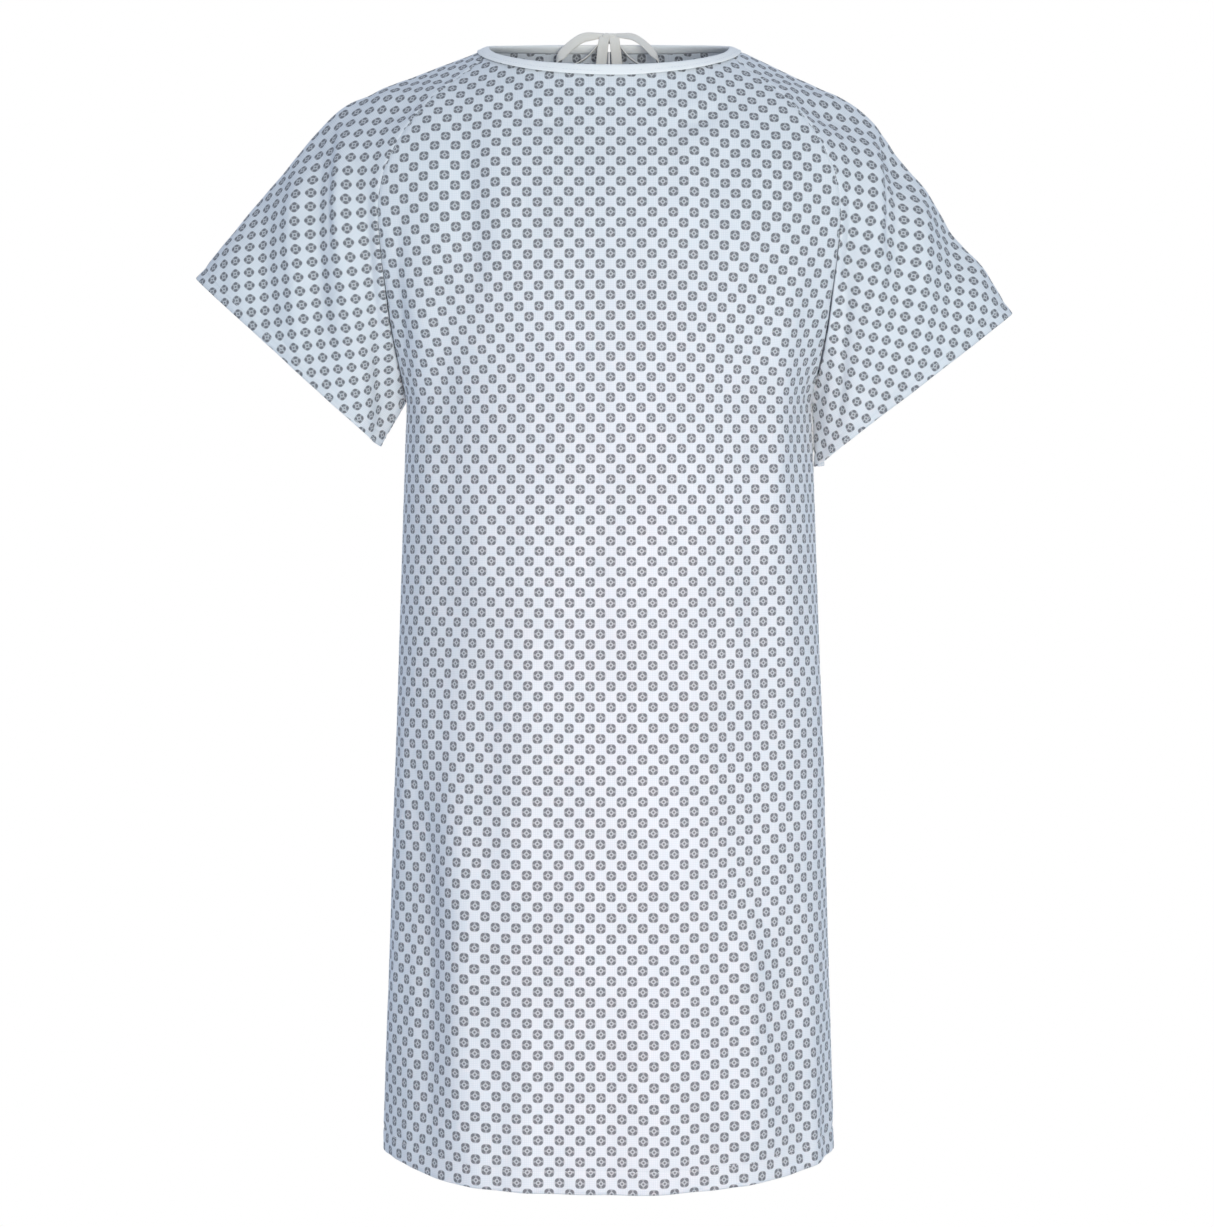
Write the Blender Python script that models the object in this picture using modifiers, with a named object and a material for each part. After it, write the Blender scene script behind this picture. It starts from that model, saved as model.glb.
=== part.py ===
"""Patient gown: raglan short sleeves, bound neck, open back with a neck bow and waist ties.

Metres, +Z up. The wearer faces -Y, so the wearer's left is +X. The origin is the middle of the neck
opening at the height of the two neck points of the shoulders, where the wearer carries the gown.
Every cloth piece is a thin shell on one smooth gown surface, kept a small gap from its neighbours.
"""
import math

import bmesh
import bpy
from mathutils import Matrix, Vector

# ---- Driving dimensions, metres and degrees ----
GOWN_LENGTH = 1.030           # neck point of the shoulder down to the hem
HEM_HALF_WIDTH = 0.209
HEM_HALF_DEPTH = 0.138
CHEST_HALF_WIDTH = 0.188      # at the underarm
CHEST_HALF_DEPTH = 0.121
UPPER_CHEST_DEPTH = 0.110     # how far the breast stands forward, halfway up the armhole
UNDERARM_DROP = 0.330         # neck point down to the underarm

NECK_HALF_WIDTH = 0.114
NECK_HALF_DEPTH = 0.080
NECK_FRONT_DROP = 0.023
NECK_BACK_RISE = 0.014
ARMHOLE_HALF_WIDTH = CHEST_HALF_WIDTH + 0.020    # widest place of the raglan seams
SHOULDER_X = ARMHOLE_HALF_WIDTH + 0.038          # where the shoulder line turns into the sleeve
SHOULDER_DROP = 0.058
SHOULDER_ROUNDING = 0.045
ARMHOLE_DEPTH = 0.078         # how far those seams stand forward and back

SLEEVE_DROOP = 51.0           # below the horizontal
SLEEVE_HEM_WIDTH = UNDERARM_DROP * 0.709         # laid flat, top fold to underarm seam
SLEEVE_CORNER_X = CHEST_HALF_WIDTH + 0.0115      # the hem's inner corner, beside the body
SLEEVE_TOP_LENGTH = ((SLEEVE_CORNER_X - SHOULDER_X + SLEEVE_HEM_WIDTH * math.sin(math.radians(SLEEVE_DROOP)))
                     / math.cos(math.radians(SLEEVE_DROOP)))
SLEEVE_HEM_HALF_DEPTH = 0.045

CLOTH = 0.0012                # cloth shells, with their turned edges
SEAM_GAP = 0.0020             # between the shells that a seam joins
UNDERARM_GAP = 0.0070         # wider at the underarm, where sleeve and side hang almost face to face
NECK_GAP = 0.0015             # between the binding and the cloth below it
BINDING_WIDTH = 0.010
BINDING_THICKNESS = 0.0022
HEM_HEIGHT = 0.019            # turned-up hem of the body
SLEEVE_HEM_HEIGHT = 0.012
EDGE_FACING = 0.022           # turned-in edge of the back opening
BACK_EDGE_GAP = 0.0040        # between the two back edges
THREAD_RADIUS = 0.00035
CLEARANCE = 0.0004

FLAP_DROP = 0.400             # the back panels turn freely below this
FLAP_GAP = 0.0030
ARM_SHARE = 0.55              # where the sleeve bends, from its raglan seam to its hem
ARM_GAP = 0.0060              # between the fixed and the turning part of a sleeve

TAPE_WIDTH = 0.010
TAPE_THICKNESS = 0.0010
WAIST_TIE_LENGTH = 0.350
WAIST_TIE_DROP = 0.450        # neck point down to the sewn end of the waist ties
WAIST_TIE_INSET = 0.009       # centre of the tie from the middle of the back
TACK_LENGTH = 0.014
NECK_TIE_SEWN_LENGTH = 0.024
BOW_LOOP_LENGTH = 0.046
BOW_LOOP_DROP = 0.030
BOW_FORWARD = 0.024           # how far the loops reach forward of the knot
BOW_TAIL_LENGTH = 0.085
KNOT_SIZE = (0.013, 0.010, 0.009)
KNOT_LIFT = 0.0022            # the knot's underside above the binding's edge, so it can turn over

# ---- Mesh fineness ----
FRONT_COLUMNS = 16
ARMHOLE_ROWS = 8
SKIRT_ROWS = 9
SLEEVE_ROWS = 4
NECK_STATIONS = 3
BINDING_STATIONS = 48

# ---- Where things meet, as shares or angles ----
ARMHOLE_SHARE = 0.34          # the part of a panel's side edge that is raglan seam
FRONT_SEAM_ANGLE = -16.0      # round the neck from +X, negative to the front
BACK_SEAM_ANGLE = 20.0
NECK_SHARE = 0.10             # the part of half a sleeve's girth that lies at the neck
EDGE_SHARE = SEAM_GAP / 2 / ARMHOLE_HALF_WIDTH

LEFT, RIGHT = 1, -1           # the wearer's sides, as signs of X
SIDES = (("left", LEFT), ("right", RIGHT))


# ---- Curves ----
def mix(a, b, t):
    return a + (b - a) * t


def smooth(points, t):
    """The point at share t along a Catmull-Rom curve through the points, by chord length."""
    chords = [(b - a).length for a, b in zip(points, points[1:])]
    target = max(0.0, min(1.0, t)) * sum(chords)
    i = 0
    while i < len(chords) - 1 and target > chords[i]:
        target -= chords[i]
        i += 1
    f = target / chords[i]
    p1, p2 = points[i], points[i + 1]
    p0 = points[i - 1] if i else p1 * 2 - p2
    p3 = points[i + 2] if i + 2 < len(points) else p2 * 2 - p1
    return (p1 * 2 + (p2 - p0) * f + (p0 * 2 - p1 * 5 + p2 * 4 - p3) * f ** 2
            + (p1 * 3 - p0 - p2 * 3 + p3) * f ** 3) / 2


def collar(angle, drop=0.0):
    """A point of the neckline at an angle from +X, or that far down the cloth below it."""
    a = math.radians(angle)
    rise = NECK_BACK_RISE if a > 0 else NECK_FRONT_DROP
    edge = Vector((NECK_HALF_WIDTH * math.cos(a), NECK_HALF_DEPTH * math.sin(a), rise * math.sin(a)))
    outward = mix(0.40, 0.92, abs(math.cos(a)) ** 1.5)
    down = math.sqrt(1 - outward ** 2)
    slope = Vector((math.cos(a) * outward, math.sin(a) * outward, -down))
    return edge + slope.normalized() * drop


CLOTH_TOP = BINDING_WIDTH + NECK_GAP


def raglan(t, front):
    """The raglan seam on the +X side, from the neckline (0) to the underarm (1)."""
    way = -1 if front else 1
    start = collar(FRONT_SEAM_ANGLE if front else BACK_SEAM_ANGLE, CLOTH_TOP)
    shoulder = Vector((mix(start.x, ARMHOLE_HALF_WIDTH, 0.66), way * ARMHOLE_DEPTH * 0.80,
                       -UNDERARM_DROP * 0.21))
    widest = Vector((ARMHOLE_HALF_WIDTH, way * ARMHOLE_DEPTH, -UNDERARM_DROP * 0.43))
    low = Vector((mix(ARMHOLE_HALF_WIDTH, CHEST_HALF_WIDTH, 0.30), way * ARMHOLE_DEPTH * 0.70,
                  -UNDERARM_DROP * 0.74))
    return smooth([start, shoulder, widest, low, underarm()], t)


def underarm():
    return Vector((CHEST_HALF_WIDTH, 0, -UNDERARM_DROP))


def hem_side():
    return Vector((HEM_HALF_WIDTH, 0, -GOWN_LENGTH))


def panel_edge(v, front):
    """The side edge of a body panel: raglan seam, then side seam down to the hem."""
    if v < ARMHOLE_SHARE:
        return raglan(v / ARMHOLE_SHARE, front)
    return mix(underarm(), hem_side(), (v - ARMHOLE_SHARE) / (1 - ARMHOLE_SHARE))


def panel_centre(v, front):
    """The middle line of a body panel, level with its side edge below the underarm."""
    way = -1 if front else 1
    if v >= ARMHOLE_SHARE:
        t = (v - ARMHOLE_SHARE) / (1 - ARMHOLE_SHARE)
        depth = mix(CHEST_HALF_DEPTH, HEM_HALF_DEPTH, t)
        return Vector((0, way * depth, mix(-UNDERARM_DROP, -GOWN_LENGTH, t)))
    top = collar(way * 90, CLOTH_TOP)
    breast = Vector((0, way * UPPER_CHEST_DEPTH, mix(top.z, -UNDERARM_DROP, 0.40)))
    chest = Vector((0, way * CHEST_HALF_DEPTH, -UNDERARM_DROP))
    return smooth([top, breast, chest], v / ARMHOLE_SHARE)


def half_turn(v, front):
    """How far round, in radians, a panel's row bends from its middle to its side edge."""
    seam = 90 + FRONT_SEAM_ANGLE if front else 90 - BACK_SEAM_ANGLE
    t = min(1.0, v / ARMHOLE_SHARE)
    return math.radians(mix(mix(seam, 58, min(1.0, t / 0.4)), 90, t ** 2))


def panel(u, v, front):
    """A point of the front or back surface: u from -1 to 1 across it, v from neckline to hem."""
    edge, centre = panel_edge(v, front), panel_centre(v, front)
    turn = half_turn(v, front)
    share = (math.cos(turn * u) - math.cos(turn)) / (1 - math.cos(turn))
    middle = mix(edge, centre, share)
    return Vector((edge.x * math.sin(turn * u) / math.sin(turn), middle.y, middle.z))


def front_surface(u, v):
    return panel(u, v, True)


def back_surface(u, v):
    return panel(u, v, False)


def sleeve_direction():
    a = math.radians(SLEEVE_DROOP)
    return Vector((math.cos(a), 0, -math.sin(a)))


def shoulder_line(s):
    """The top of the sleeve, from the binding out over the shoulder to the hem."""
    start, corner = collar(0, CLOTH_TOP), Vector((SHOULDER_X, 0, -SHOULDER_DROP))
    inner, outer = (corner - start), sleeve_direction()
    reach = inner.length
    along = s * (reach + SLEEVE_TOP_LENGTH)
    inner = inner.normalized()
    if along < reach - SHOULDER_ROUNDING:
        return start + inner * along
    if along > reach + SHOULDER_ROUNDING:
        return corner + outer * (along - reach)
    t = (along - reach + SHOULDER_ROUNDING) / (2 * SHOULDER_ROUNDING)
    a, b = corner - inner * SHOULDER_ROUNDING, corner + outer * SHOULDER_ROUNDING
    return mix(mix(a, corner, t), mix(corner, b, t), t)


def sleeve_root(w):
    """The sleeve's inner edge: w from -1, underarm, by the front, over the neck, to +1."""
    if abs(w) <= NECK_SHARE:
        angle = FRONT_SEAM_ANGLE * -w / NECK_SHARE if w < 0 else BACK_SEAM_ANGLE * w / NECK_SHARE
        return collar(angle, CLOTH_TOP)
    return raglan((abs(w) - NECK_SHARE) / (1 - NECK_SHARE), w < 0)


def sleeve_hem(w):
    """The sleeve's hem: a flat oval from its top fold (w = 0) to the underarm seam (w = 1 and -1)."""
    a = math.radians(SLEEVE_DROOP)
    inward = Vector((-math.sin(a), 0, -math.cos(a)))
    half = SLEEVE_HEM_WIDTH / 2
    centre = shoulder_line(1) + inward * half
    return (centre - inward * half * math.cos(math.pi * w)
            + Vector((0, SLEEVE_HEM_HALF_DEPTH * math.sin(math.pi * w), 0)))


def sleeve_surface(s, w):
    """A point of the +X sleeve: s from its raglan seam to its hem, w round it."""
    crown = shoulder_line(s) - mix(shoulder_line(0), shoulder_line(1), s)
    fade = max(0.0, 1 - abs(w)) ** 1.4
    return mix(sleeve_root(w), sleeve_hem(w), s) + crown * fade


def sleeve_yoke_surface(k, w):
    """The fixed part of the sleeve: k from 0 beside the raglan seam to 1 where the sleeve bends."""
    length = (sleeve_hem(w) - sleeve_root(w)).length
    seam_gap = mix(SEAM_GAP / 2, UNDERARM_GAP, abs(w) ** 6)
    return sleeve_surface(mix(seam_gap / length, ARM_SHARE - ARM_GAP / 2 / length, k), w)


def sleeve_arm_surface(k, w):
    """The turning part of the sleeve: k from 0 where it bends to 1 at the hem."""
    length = (sleeve_hem(w) - sleeve_root(w)).length
    return sleeve_surface(mix(ARM_SHARE + ARM_GAP / 2 / length, 1, k), w)


# ---- Building blocks ----
def collection(name):
    made = bpy.data.collections.new(name)
    bpy.context.scene.collection.children.link(made)
    return made


def material(name, colour, roughness):
    mat = bpy.data.materials.new(name)
    mat.use_nodes = True
    shader = mat.node_tree.nodes["Principled BSDF"]
    shader.inputs["Base Color"].default_value = (*colour, 1)
    shader.inputs["Roughness"].default_value = roughness
    shader.inputs["Metallic"].default_value = 0.0
    return mat


def add(name, data, mat, pivot):
    """Links an object whose data is in world space, and hangs it on a joint's empty."""
    ob = bpy.data.objects.new(name, data)
    data.materials.append(mat)
    GOWN.objects.link(ob)
    if pivot is not None:
        data.transform(Matrix.Translation(-pivot.location))
        ob.parent = pivot
    return ob


def stations(low, high, count):
    return [mix(low, high, i / count) for i in range(count + 1)]


def mirrored(surface, side):
    """The same surface for one side: the +X one, or its mirror image."""
    def point(a, b):
        p = surface(a, b)
        return Vector((p.x * side, p.y, p.z))
    return point


def cloth(name, surface, across, down, mat, pivot=None, thickness=CLOTH):
    """A cloth shell: a grid laid on the surface at these stations and given its thickness."""
    bm = bmesh.new()
    bmesh.ops.create_grid(bm, x_segments=len(across) - 1, y_segments=len(down) - 1, size=0.5)
    for vert in bm.verts:
        i = round((vert.co.x + 0.5) * (len(across) - 1))
        j = round((vert.co.y + 0.5) * (len(down) - 1))
        vert.co = surface(across[i], down[j])
    mesh = bpy.data.meshes.new(name)
    bm.to_mesh(mesh)
    bm.free()
    mesh.shade_smooth()
    ob = add(name, mesh, mat, pivot)
    shell = ob.modifiers.new("Thickness", "SOLIDIFY")
    shell.thickness = thickness
    shell.offset = 0
    return ob


def outward(surface, a, b, core):
    """The surface's unit normal there, pointing away from the core point."""
    step = 0.002
    along = surface(a + step, b) - surface(a - step, b)
    down = surface(a, b + step) - surface(a, b - step)
    normal = along.cross(down).normalized()
    return normal if normal.dot(surface(a, b) - core) > 0 else -normal


def lifted(surface, a, b, core, height):
    return surface(a, b) + outward(surface, a, b, core) * height


def thread(name, points, mat, pivot=None):
    """A line of stitching: one thin round thread through the points."""
    curve = bpy.data.curves.new(name, "CURVE")
    curve.dimensions = "3D"
    curve.bevel_depth = THREAD_RADIUS
    curve.bevel_resolution = 1
    curve.use_fill_caps = True
    spline = curve.splines.new("POLY")
    spline.points.add(len(points) - 1)
    for knot, p in zip(spline.points, points):
        knot.co = (*p, 1)
    return add(name, curve, mat, pivot)


def tape(name, path, width_along, mat, pivot=None):
    """A flat tape along a path of points, its width along one direction for each point."""
    widths = [w.normalized() * TAPE_WIDTH / 2 for w in width_along]

    def surface(k, i):
        return path[int(i)] + widths[int(i)] * k
    return cloth(name, surface, [-1, 1], list(range(len(path))), mat, pivot, TAPE_THICKNESS)


def pivot(name, place):
    """An empty on a joint's axis, for the pieces that turn there."""
    empty = bpy.data.objects.new(name, None)
    empty.empty_display_size = 0.03
    empty.location = place
    GOWN.objects.link(empty)
    return empty


THREAD_LIFT = CLOTH / 2 + CLEARANCE + THREAD_RADIUS
NECK_CORE = Vector((0, 0, -UNDERARM_DROP / 2))


def panel_core(v):
    """A point on the gown's middle line, level with a panel's row."""
    return Vector((0, 0, panel_edge(v, True).z))


# ---- Stations shared by the shells and the stitching on them ----
def share_at_drop(drop):
    """The row of the body panels at this height below the neck points, under the armhole."""
    return mix(ARMHOLE_SHARE, 1, (drop - UNDERARM_DROP) / (GOWN_LENGTH - UNDERARM_DROP))


ARMHOLE_STATIONS = stations(0, ARMHOLE_SHARE, ARMHOLE_ROWS)
HEM_STATION = share_at_drop(GOWN_LENGTH - HEM_HEIGHT)
FLAP_TOP = share_at_drop(FLAP_DROP + FLAP_GAP / 2)
YOKE_END = share_at_drop(FLAP_DROP - FLAP_GAP / 2)
FRONT_ROWS = ARMHOLE_STATIONS + stations(FLAP_TOP, HEM_STATION, SKIRT_ROWS) + [1]
YOKE_ROWS = ARMHOLE_STATIONS + [YOKE_END]
FLAP_ROWS = stations(FLAP_TOP, HEM_STATION, SKIRT_ROWS) + [1]


def back_columns(v):
    """Stations across half the back: its open edge, its facing's stitch line, then to the side."""
    reach = panel_edge(v, False).x
    turn = half_turn(v, False)
    edge = math.asin(BACK_EDGE_GAP / 2 * math.sin(turn) / reach) / turn
    facing = math.asin((BACK_EDGE_GAP / 2 + EDGE_FACING) * math.sin(turn) / reach) / turn
    return [edge] + stations(facing, 1 - EDGE_SHARE, FRONT_COLUMNS // 2)


def half_back(k, v):
    """The back surface with whole k counting the columns, so each edge keeps its distance."""
    columns = back_columns(v)
    low = max(0, min(len(columns) - 2, math.floor(k)))
    return back_surface(mix(columns[low], columns[low + 1], k - low), v)


BACK_STATIONS = list(range(FRONT_COLUMNS // 2 + 2))


# ---- Cloth panels ----
def make_front():
    columns = stations(-1 + EDGE_SHARE, 1 - EDGE_SHARE, FRONT_COLUMNS)
    cloth("front_panel", front_surface, columns, FRONT_ROWS, PRINT)
    core = panel_core(HEM_STATION)
    hem = [lifted(front_surface, u, HEM_STATION, core, THREAD_LIFT) for u in columns[1:-1]]
    thread("front_hem_stitching", hem, THREAD)


def make_back(name, side, flap):
    surface = mirrored(half_back, side)
    cloth(f"{name}_back_yoke", surface, BACK_STATIONS, YOKE_ROWS, PRINT)
    cloth(f"{name}_back_flap", surface, BACK_STATIONS, FLAP_ROWS, PRINT, flap)
    yoke_edge = [lifted(surface, 1, v, panel_core(v), THREAD_LIFT) for v in YOKE_ROWS]
    thread(f"{name}_yoke_edge_stitching", yoke_edge, THREAD)
    flap_edge = [lifted(surface, 1, v, panel_core(v), THREAD_LIFT) for v in FLAP_ROWS[:-1]]
    thread(f"{name}_flap_edge_stitching", flap_edge, THREAD, flap)
    core = panel_core(HEM_STATION)
    hem = [lifted(surface, k, HEM_STATION, core, THREAD_LIFT) for k in BACK_STATIONS[2:]]
    thread(f"{name}_flap_hem_stitching", hem, THREAD, flap)


def seam_thread(name, surface, inset, rows):
    """Stitching down a panel, beside its side edge, on its outer face."""
    thread(name, [lifted(surface, inset, v, panel_core(v), THREAD_LIFT) for v in rows], THREAD)


def make_seams(name, side):
    front = mirrored(front_surface, side)
    back = mirrored(back_surface, side)
    inset = 1 - EDGE_SHARE * 3
    seam_thread(f"{name}_front_raglan_stitching", front, inset, ARMHOLE_STATIONS[:-1])
    seam_thread(f"{name}_back_raglan_stitching", back, inset, ARMHOLE_STATIONS[:-1])
    seam_thread(f"{name}_side_stitching", front, inset, FRONT_ROWS[ARMHOLE_ROWS + 1:])


def girth_stations():
    """Stations round a sleeve, from underarm seam to underarm seam, with one at each neck corner."""
    seam = stations(NECK_SHARE, 1 - EDGE_SHARE, ARMHOLE_ROWS)
    neck = stations(-NECK_SHARE, NECK_SHARE, NECK_STATIONS + 1)
    return [-w for w in reversed(seam)] + neck[1:-1] + seam


def sleeve_core(surface, k):
    """A point inside the sleeve, halfway from its top fold to its underarm seam."""
    return (surface(k, 0) + surface(k, 1)) / 2


def make_sleeve(name, side, arm):
    yoke, arm_part = mirrored(sleeve_yoke_surface, side), mirrored(sleeve_arm_surface, side)
    girth = girth_stations()
    hem_row = 1 - SLEEVE_HEM_HEIGHT / (SLEEVE_TOP_LENGTH * (1 - ARM_SHARE))
    rows = stations(0, hem_row, SLEEVE_ROWS - 1) + [1]
    cloth(f"{name}_sleeve_yoke", yoke, stations(0, 1, SLEEVE_ROWS), girth, PRINT)
    cloth(f"{name}_sleeve", arm_part, rows, girth, PRINT, arm)
    hem_core = sleeve_core(arm_part, hem_row)
    hem = [lifted(arm_part, hem_row, w, hem_core, THREAD_LIFT) for w in girth]
    thread(f"{name}_sleeve_hem_stitching", hem, THREAD, arm)
    seam = [lifted(arm_part, k, girth[1], sleeve_core(arm_part, k), THREAD_LIFT) for k in rows[:-2]]
    thread(f"{name}_underarm_stitching", seam, THREAD, arm)


# ---- Neck binding, neck ties and bow ----
def back_edge_angle():
    """Where the binding ends at the middle of the back, from +X."""
    return math.degrees(math.acos(BACK_EDGE_GAP / 2 / NECK_HALF_WIDTH))


def make_binding():
    end = back_edge_angle()
    turn = stations(-180 - end, end, BINDING_STATIONS)

    def surface(angle, drop):
        if angle < -90:
            p = collar(-180 - angle, drop)
            return Vector((-p.x, p.y, p.z))
        return collar(angle, drop)
    cloth("neck_binding", surface, turn, [0, BINDING_WIDTH], BINDING, None, BINDING_THICKNESS)
    lift = BINDING_THICKNESS / 2 + CLEARANCE + THREAD_RADIUS
    line = []
    for angle in turn:
        line.append(lifted(surface, angle, BINDING_WIDTH * 0.8, NECK_CORE, lift))
    thread("neck_binding_stitching", line[2:-2], THREAD)


def knot_centre():
    top = collar(90)
    return Vector((0, top.y - BINDING_THICKNESS, top.z + KNOT_LIFT + KNOT_SIZE[2] / 2))


def make_neck_tie_end(name, side):
    """The sewn end of one neck tie, on the binding's outer face beside the back opening."""
    end = back_edge_angle()
    start = end - math.degrees(NECK_TIE_SEWN_LENGTH / NECK_HALF_WIDTH)
    depth = BINDING_THICKNESS / 2 + CLEARANCE + TAPE_THICKNESS / 2
    path, widths = [], []
    for angle in stations(start, end, NECK_STATIONS):
        top, low = collar(angle, BINDING_WIDTH * 0.08), collar(angle, BINDING_WIDTH * 0.92)
        lift = outward(collar, angle, BINDING_WIDTH / 2, NECK_CORE) * depth
        point = (top + low) / 2 + lift
        path.append(Vector((point.x * side, point.y, point.z)))
        slope = low - top
        widths.append(Vector((slope.x * side, slope.y, slope.z)) * (BINDING_WIDTH * 0.84 / TAPE_WIDTH))
    tape(f"{name}_neck_tie_end", path, widths, TIE)


def make_knot(bow):
    bpy.ops.mesh.primitive_cube_add(size=1, location=knot_centre())
    ob = bpy.context.object
    ob.name = ob.data.name = "bow_knot"
    ob.scale = KNOT_SIZE
    bpy.ops.object.transform_apply(location=True, rotation=False, scale=True)
    for holder in list(ob.users_collection):
        holder.objects.unlink(ob)
    GOWN.objects.link(ob)
    ob.data.materials.append(TIE)
    ob.data.transform(Matrix.Translation(-bow.location))
    ob.location = (0, 0, 0)
    ob.parent = bow
    rounding = ob.modifiers.new("Rounding", "BEVEL")
    rounding.width = min(KNOT_SIZE) * 0.3
    rounding.segments = 2


def make_bow_loop(name, side, bow):
    """One loop of the bow: the tape leaves the knot, arches out and falls, and comes back below."""
    centre = knot_centre()
    out = KNOT_SIZE[0] / 2 + CLEARANCE
    reach, drop = BOW_LOOP_LENGTH, BOW_LOOP_DROP
    outline = [(out, 0.0025), (out + reach * 0.35, 0.0085), (out + reach * 0.75, -drop * 0.25),
               (out + reach, -drop * 0.85), (out + reach * 0.88, -drop), (out + reach * 0.55, -drop * 0.55),
               (out + reach * 0.25, -drop * 0.16), (out, -0.0025)]
    points = [Vector((side * x, centre.y, centre.z + z)) for x, z in outline]
    path = [smooth(points, t) for t in stations(0, 1, 16)]
    for p in path:
        p.y -= BOW_FORWARD * max(0.0, (abs(p.x) - out) / reach) ** 1.2
    tape(f"bow_{name}_loop", path, [Vector((0, 1, 0.35))] * len(path), TIE, bow)


def make_bow_tail(name, side, bow):
    """One tail of the bow: it leaves the front of the knot and hangs inside the neck."""
    centre = knot_centre()
    front = centre.y - KNOT_SIZE[1] / 2 - CLEARANCE - TAPE_THICKNESS / 2
    x = side * (TAPE_WIDTH / 2 + CLEARANCE * 2)
    points = [Vector((x, front, centre.z)),
              Vector((x * 1.1, front - 0.004, centre.z - KNOT_SIZE[2])),
              Vector((x * 1.5, front - 0.007, centre.z - BOW_TAIL_LENGTH * 0.5)),
              Vector((x * 2.0, front - 0.008, centre.z - BOW_TAIL_LENGTH))]
    path = [smooth(points, t) for t in stations(0, 1, 8)]
    tape(f"bow_{name}_tail", path, [Vector((1, 0, 0))] * len(path), TIE, bow)


# ---- Waist ties ----
def waist_tie_place(side):
    """Where a waist tie is sewn to its flap, on the cloth's outer face, and the cloth's slope there."""
    slope = (HEM_HALF_DEPTH - CHEST_HALF_DEPTH) / (GOWN_LENGTH - UNDERARM_DROP)
    v = share_at_drop(WAIST_TIE_DROP)
    depth = panel_centre(v, False).y + CLOTH / 2 + CLEARANCE * 2 + TAPE_THICKNESS / 2
    return Vector((side * (BACK_EDGE_GAP / 2 + WAIST_TIE_INSET), depth, -WAIST_TIE_DROP)), slope


def make_waist_tie(name, side, swing):
    top, slope = waist_tie_place(side)
    down = Vector((0, slope, -1)).normalized()
    path = [top + down * (WAIST_TIE_LENGTH * t) for t in stations(0, 1, 6)]
    tape(f"{name}_waist_tie", path, [Vector((1, 0, 0))] * len(path), TIE, swing)
    half, low = TAPE_WIDTH * 0.35, TACK_LENGTH
    height = Vector((0, TAPE_THICKNESS / 2 + CLEARANCE + THREAD_RADIUS, 0))
    corners = [(-half, 0.1), (-half, 1), (half, 1), (half, 0.1), (-half * 0.5, 0.14)]
    points = [top + height + down * (low * t) + Vector((x, 0, 0)) for x, t in corners]
    thread(f"{name}_waist_tie_tack", points, THREAD, swing)


# ---- Joint places ----
def flap_pivot_place(side):
    place = mix(underarm(), hem_side(), 0.5)
    return Vector((place.x * side, place.y, place.z))


def sleeve_pivot_place(side):
    """A point on the upright line through the underarm, which a sleeve swings about."""
    return Vector((side * CHEST_HALF_WIDTH, 0, -UNDERARM_DROP / 2))


for old in list(bpy.data.objects):
    bpy.data.objects.remove(old)

GOWN = collection("patient_gown")
PRINT = material("printed_cloth", (0.62, 0.68, 0.74), 0.85)
BINDING = material("neck_binding", (0.88, 0.89, 0.90), 0.75)
TIE = material("tie_tape", (0.86, 0.83, 0.78), 0.80)
THREAD = material("sewing_thread", (0.80, 0.84, 0.88), 0.60)

make_front()
make_binding()
bow_pivot = pivot("bow_pivot", knot_centre())
make_knot(bow_pivot)
for side_name, sign in SIDES:
    flap_pivot = pivot(f"{side_name}_flap_pivot", flap_pivot_place(sign))
    arm_pivot = pivot(f"{side_name}_sleeve_pivot", sleeve_pivot_place(sign))
    tie_pivot = pivot(f"{side_name}_waist_tie_pivot", waist_tie_place(sign)[0])
    make_back(side_name, sign, flap_pivot)
    make_sleeve(side_name, sign, arm_pivot)
    make_seams(side_name, sign)
    make_neck_tie_end(side_name, sign)
    make_bow_loop(side_name, sign, bow_pivot)
    make_bow_tail(side_name, sign, bow_pivot)
    make_waist_tie(side_name, sign, tie_pivot)
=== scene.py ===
"""Looks of the patient gown: printed cotton panels, folded hems, bound neck, tape bow and ties.

Metres, +Z up, the wearer faces -Y. Each cloth piece is laid on the same smooth gown surface as the
CAD solids it replaces, then gets the drape, seams, hems and print of real cloth.
"""
from math import acos, atan2, copysign, cos, degrees, dist, exp, pi, radians, sin, sqrt, tau

import bpy
import numpy as np
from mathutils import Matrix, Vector, noise


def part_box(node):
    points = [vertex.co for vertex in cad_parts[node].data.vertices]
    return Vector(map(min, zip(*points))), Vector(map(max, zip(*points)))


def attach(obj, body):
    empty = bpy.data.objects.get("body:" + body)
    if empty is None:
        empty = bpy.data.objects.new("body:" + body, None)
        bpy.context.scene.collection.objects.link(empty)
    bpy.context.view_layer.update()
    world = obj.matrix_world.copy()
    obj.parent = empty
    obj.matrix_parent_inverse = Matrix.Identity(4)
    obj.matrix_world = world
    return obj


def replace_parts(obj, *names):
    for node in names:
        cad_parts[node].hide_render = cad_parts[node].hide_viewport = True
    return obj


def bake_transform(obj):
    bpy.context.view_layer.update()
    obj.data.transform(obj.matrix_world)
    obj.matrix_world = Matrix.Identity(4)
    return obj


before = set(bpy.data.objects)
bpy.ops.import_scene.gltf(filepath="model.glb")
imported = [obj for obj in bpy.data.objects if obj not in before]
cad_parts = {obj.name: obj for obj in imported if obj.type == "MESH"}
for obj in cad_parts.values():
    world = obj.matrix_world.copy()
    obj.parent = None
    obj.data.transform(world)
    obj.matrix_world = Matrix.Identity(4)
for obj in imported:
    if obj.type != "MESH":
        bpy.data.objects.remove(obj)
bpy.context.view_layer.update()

# ---- The gown's driving sizes, metres and degrees: its CAD solids' own, but for the cloth's hang ----
GOWN_LENGTH = -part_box("front_panel")[0].z
HEM_HALF_WIDTH = 0.209
HEM_HALF_DEPTH = 0.138
CHEST_HALF_WIDTH = 0.188
CHEST_HALF_DEPTH = 0.121
UPPER_CHEST_DEPTH = 0.110
UNDERARM_DROP = 0.330
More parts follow.
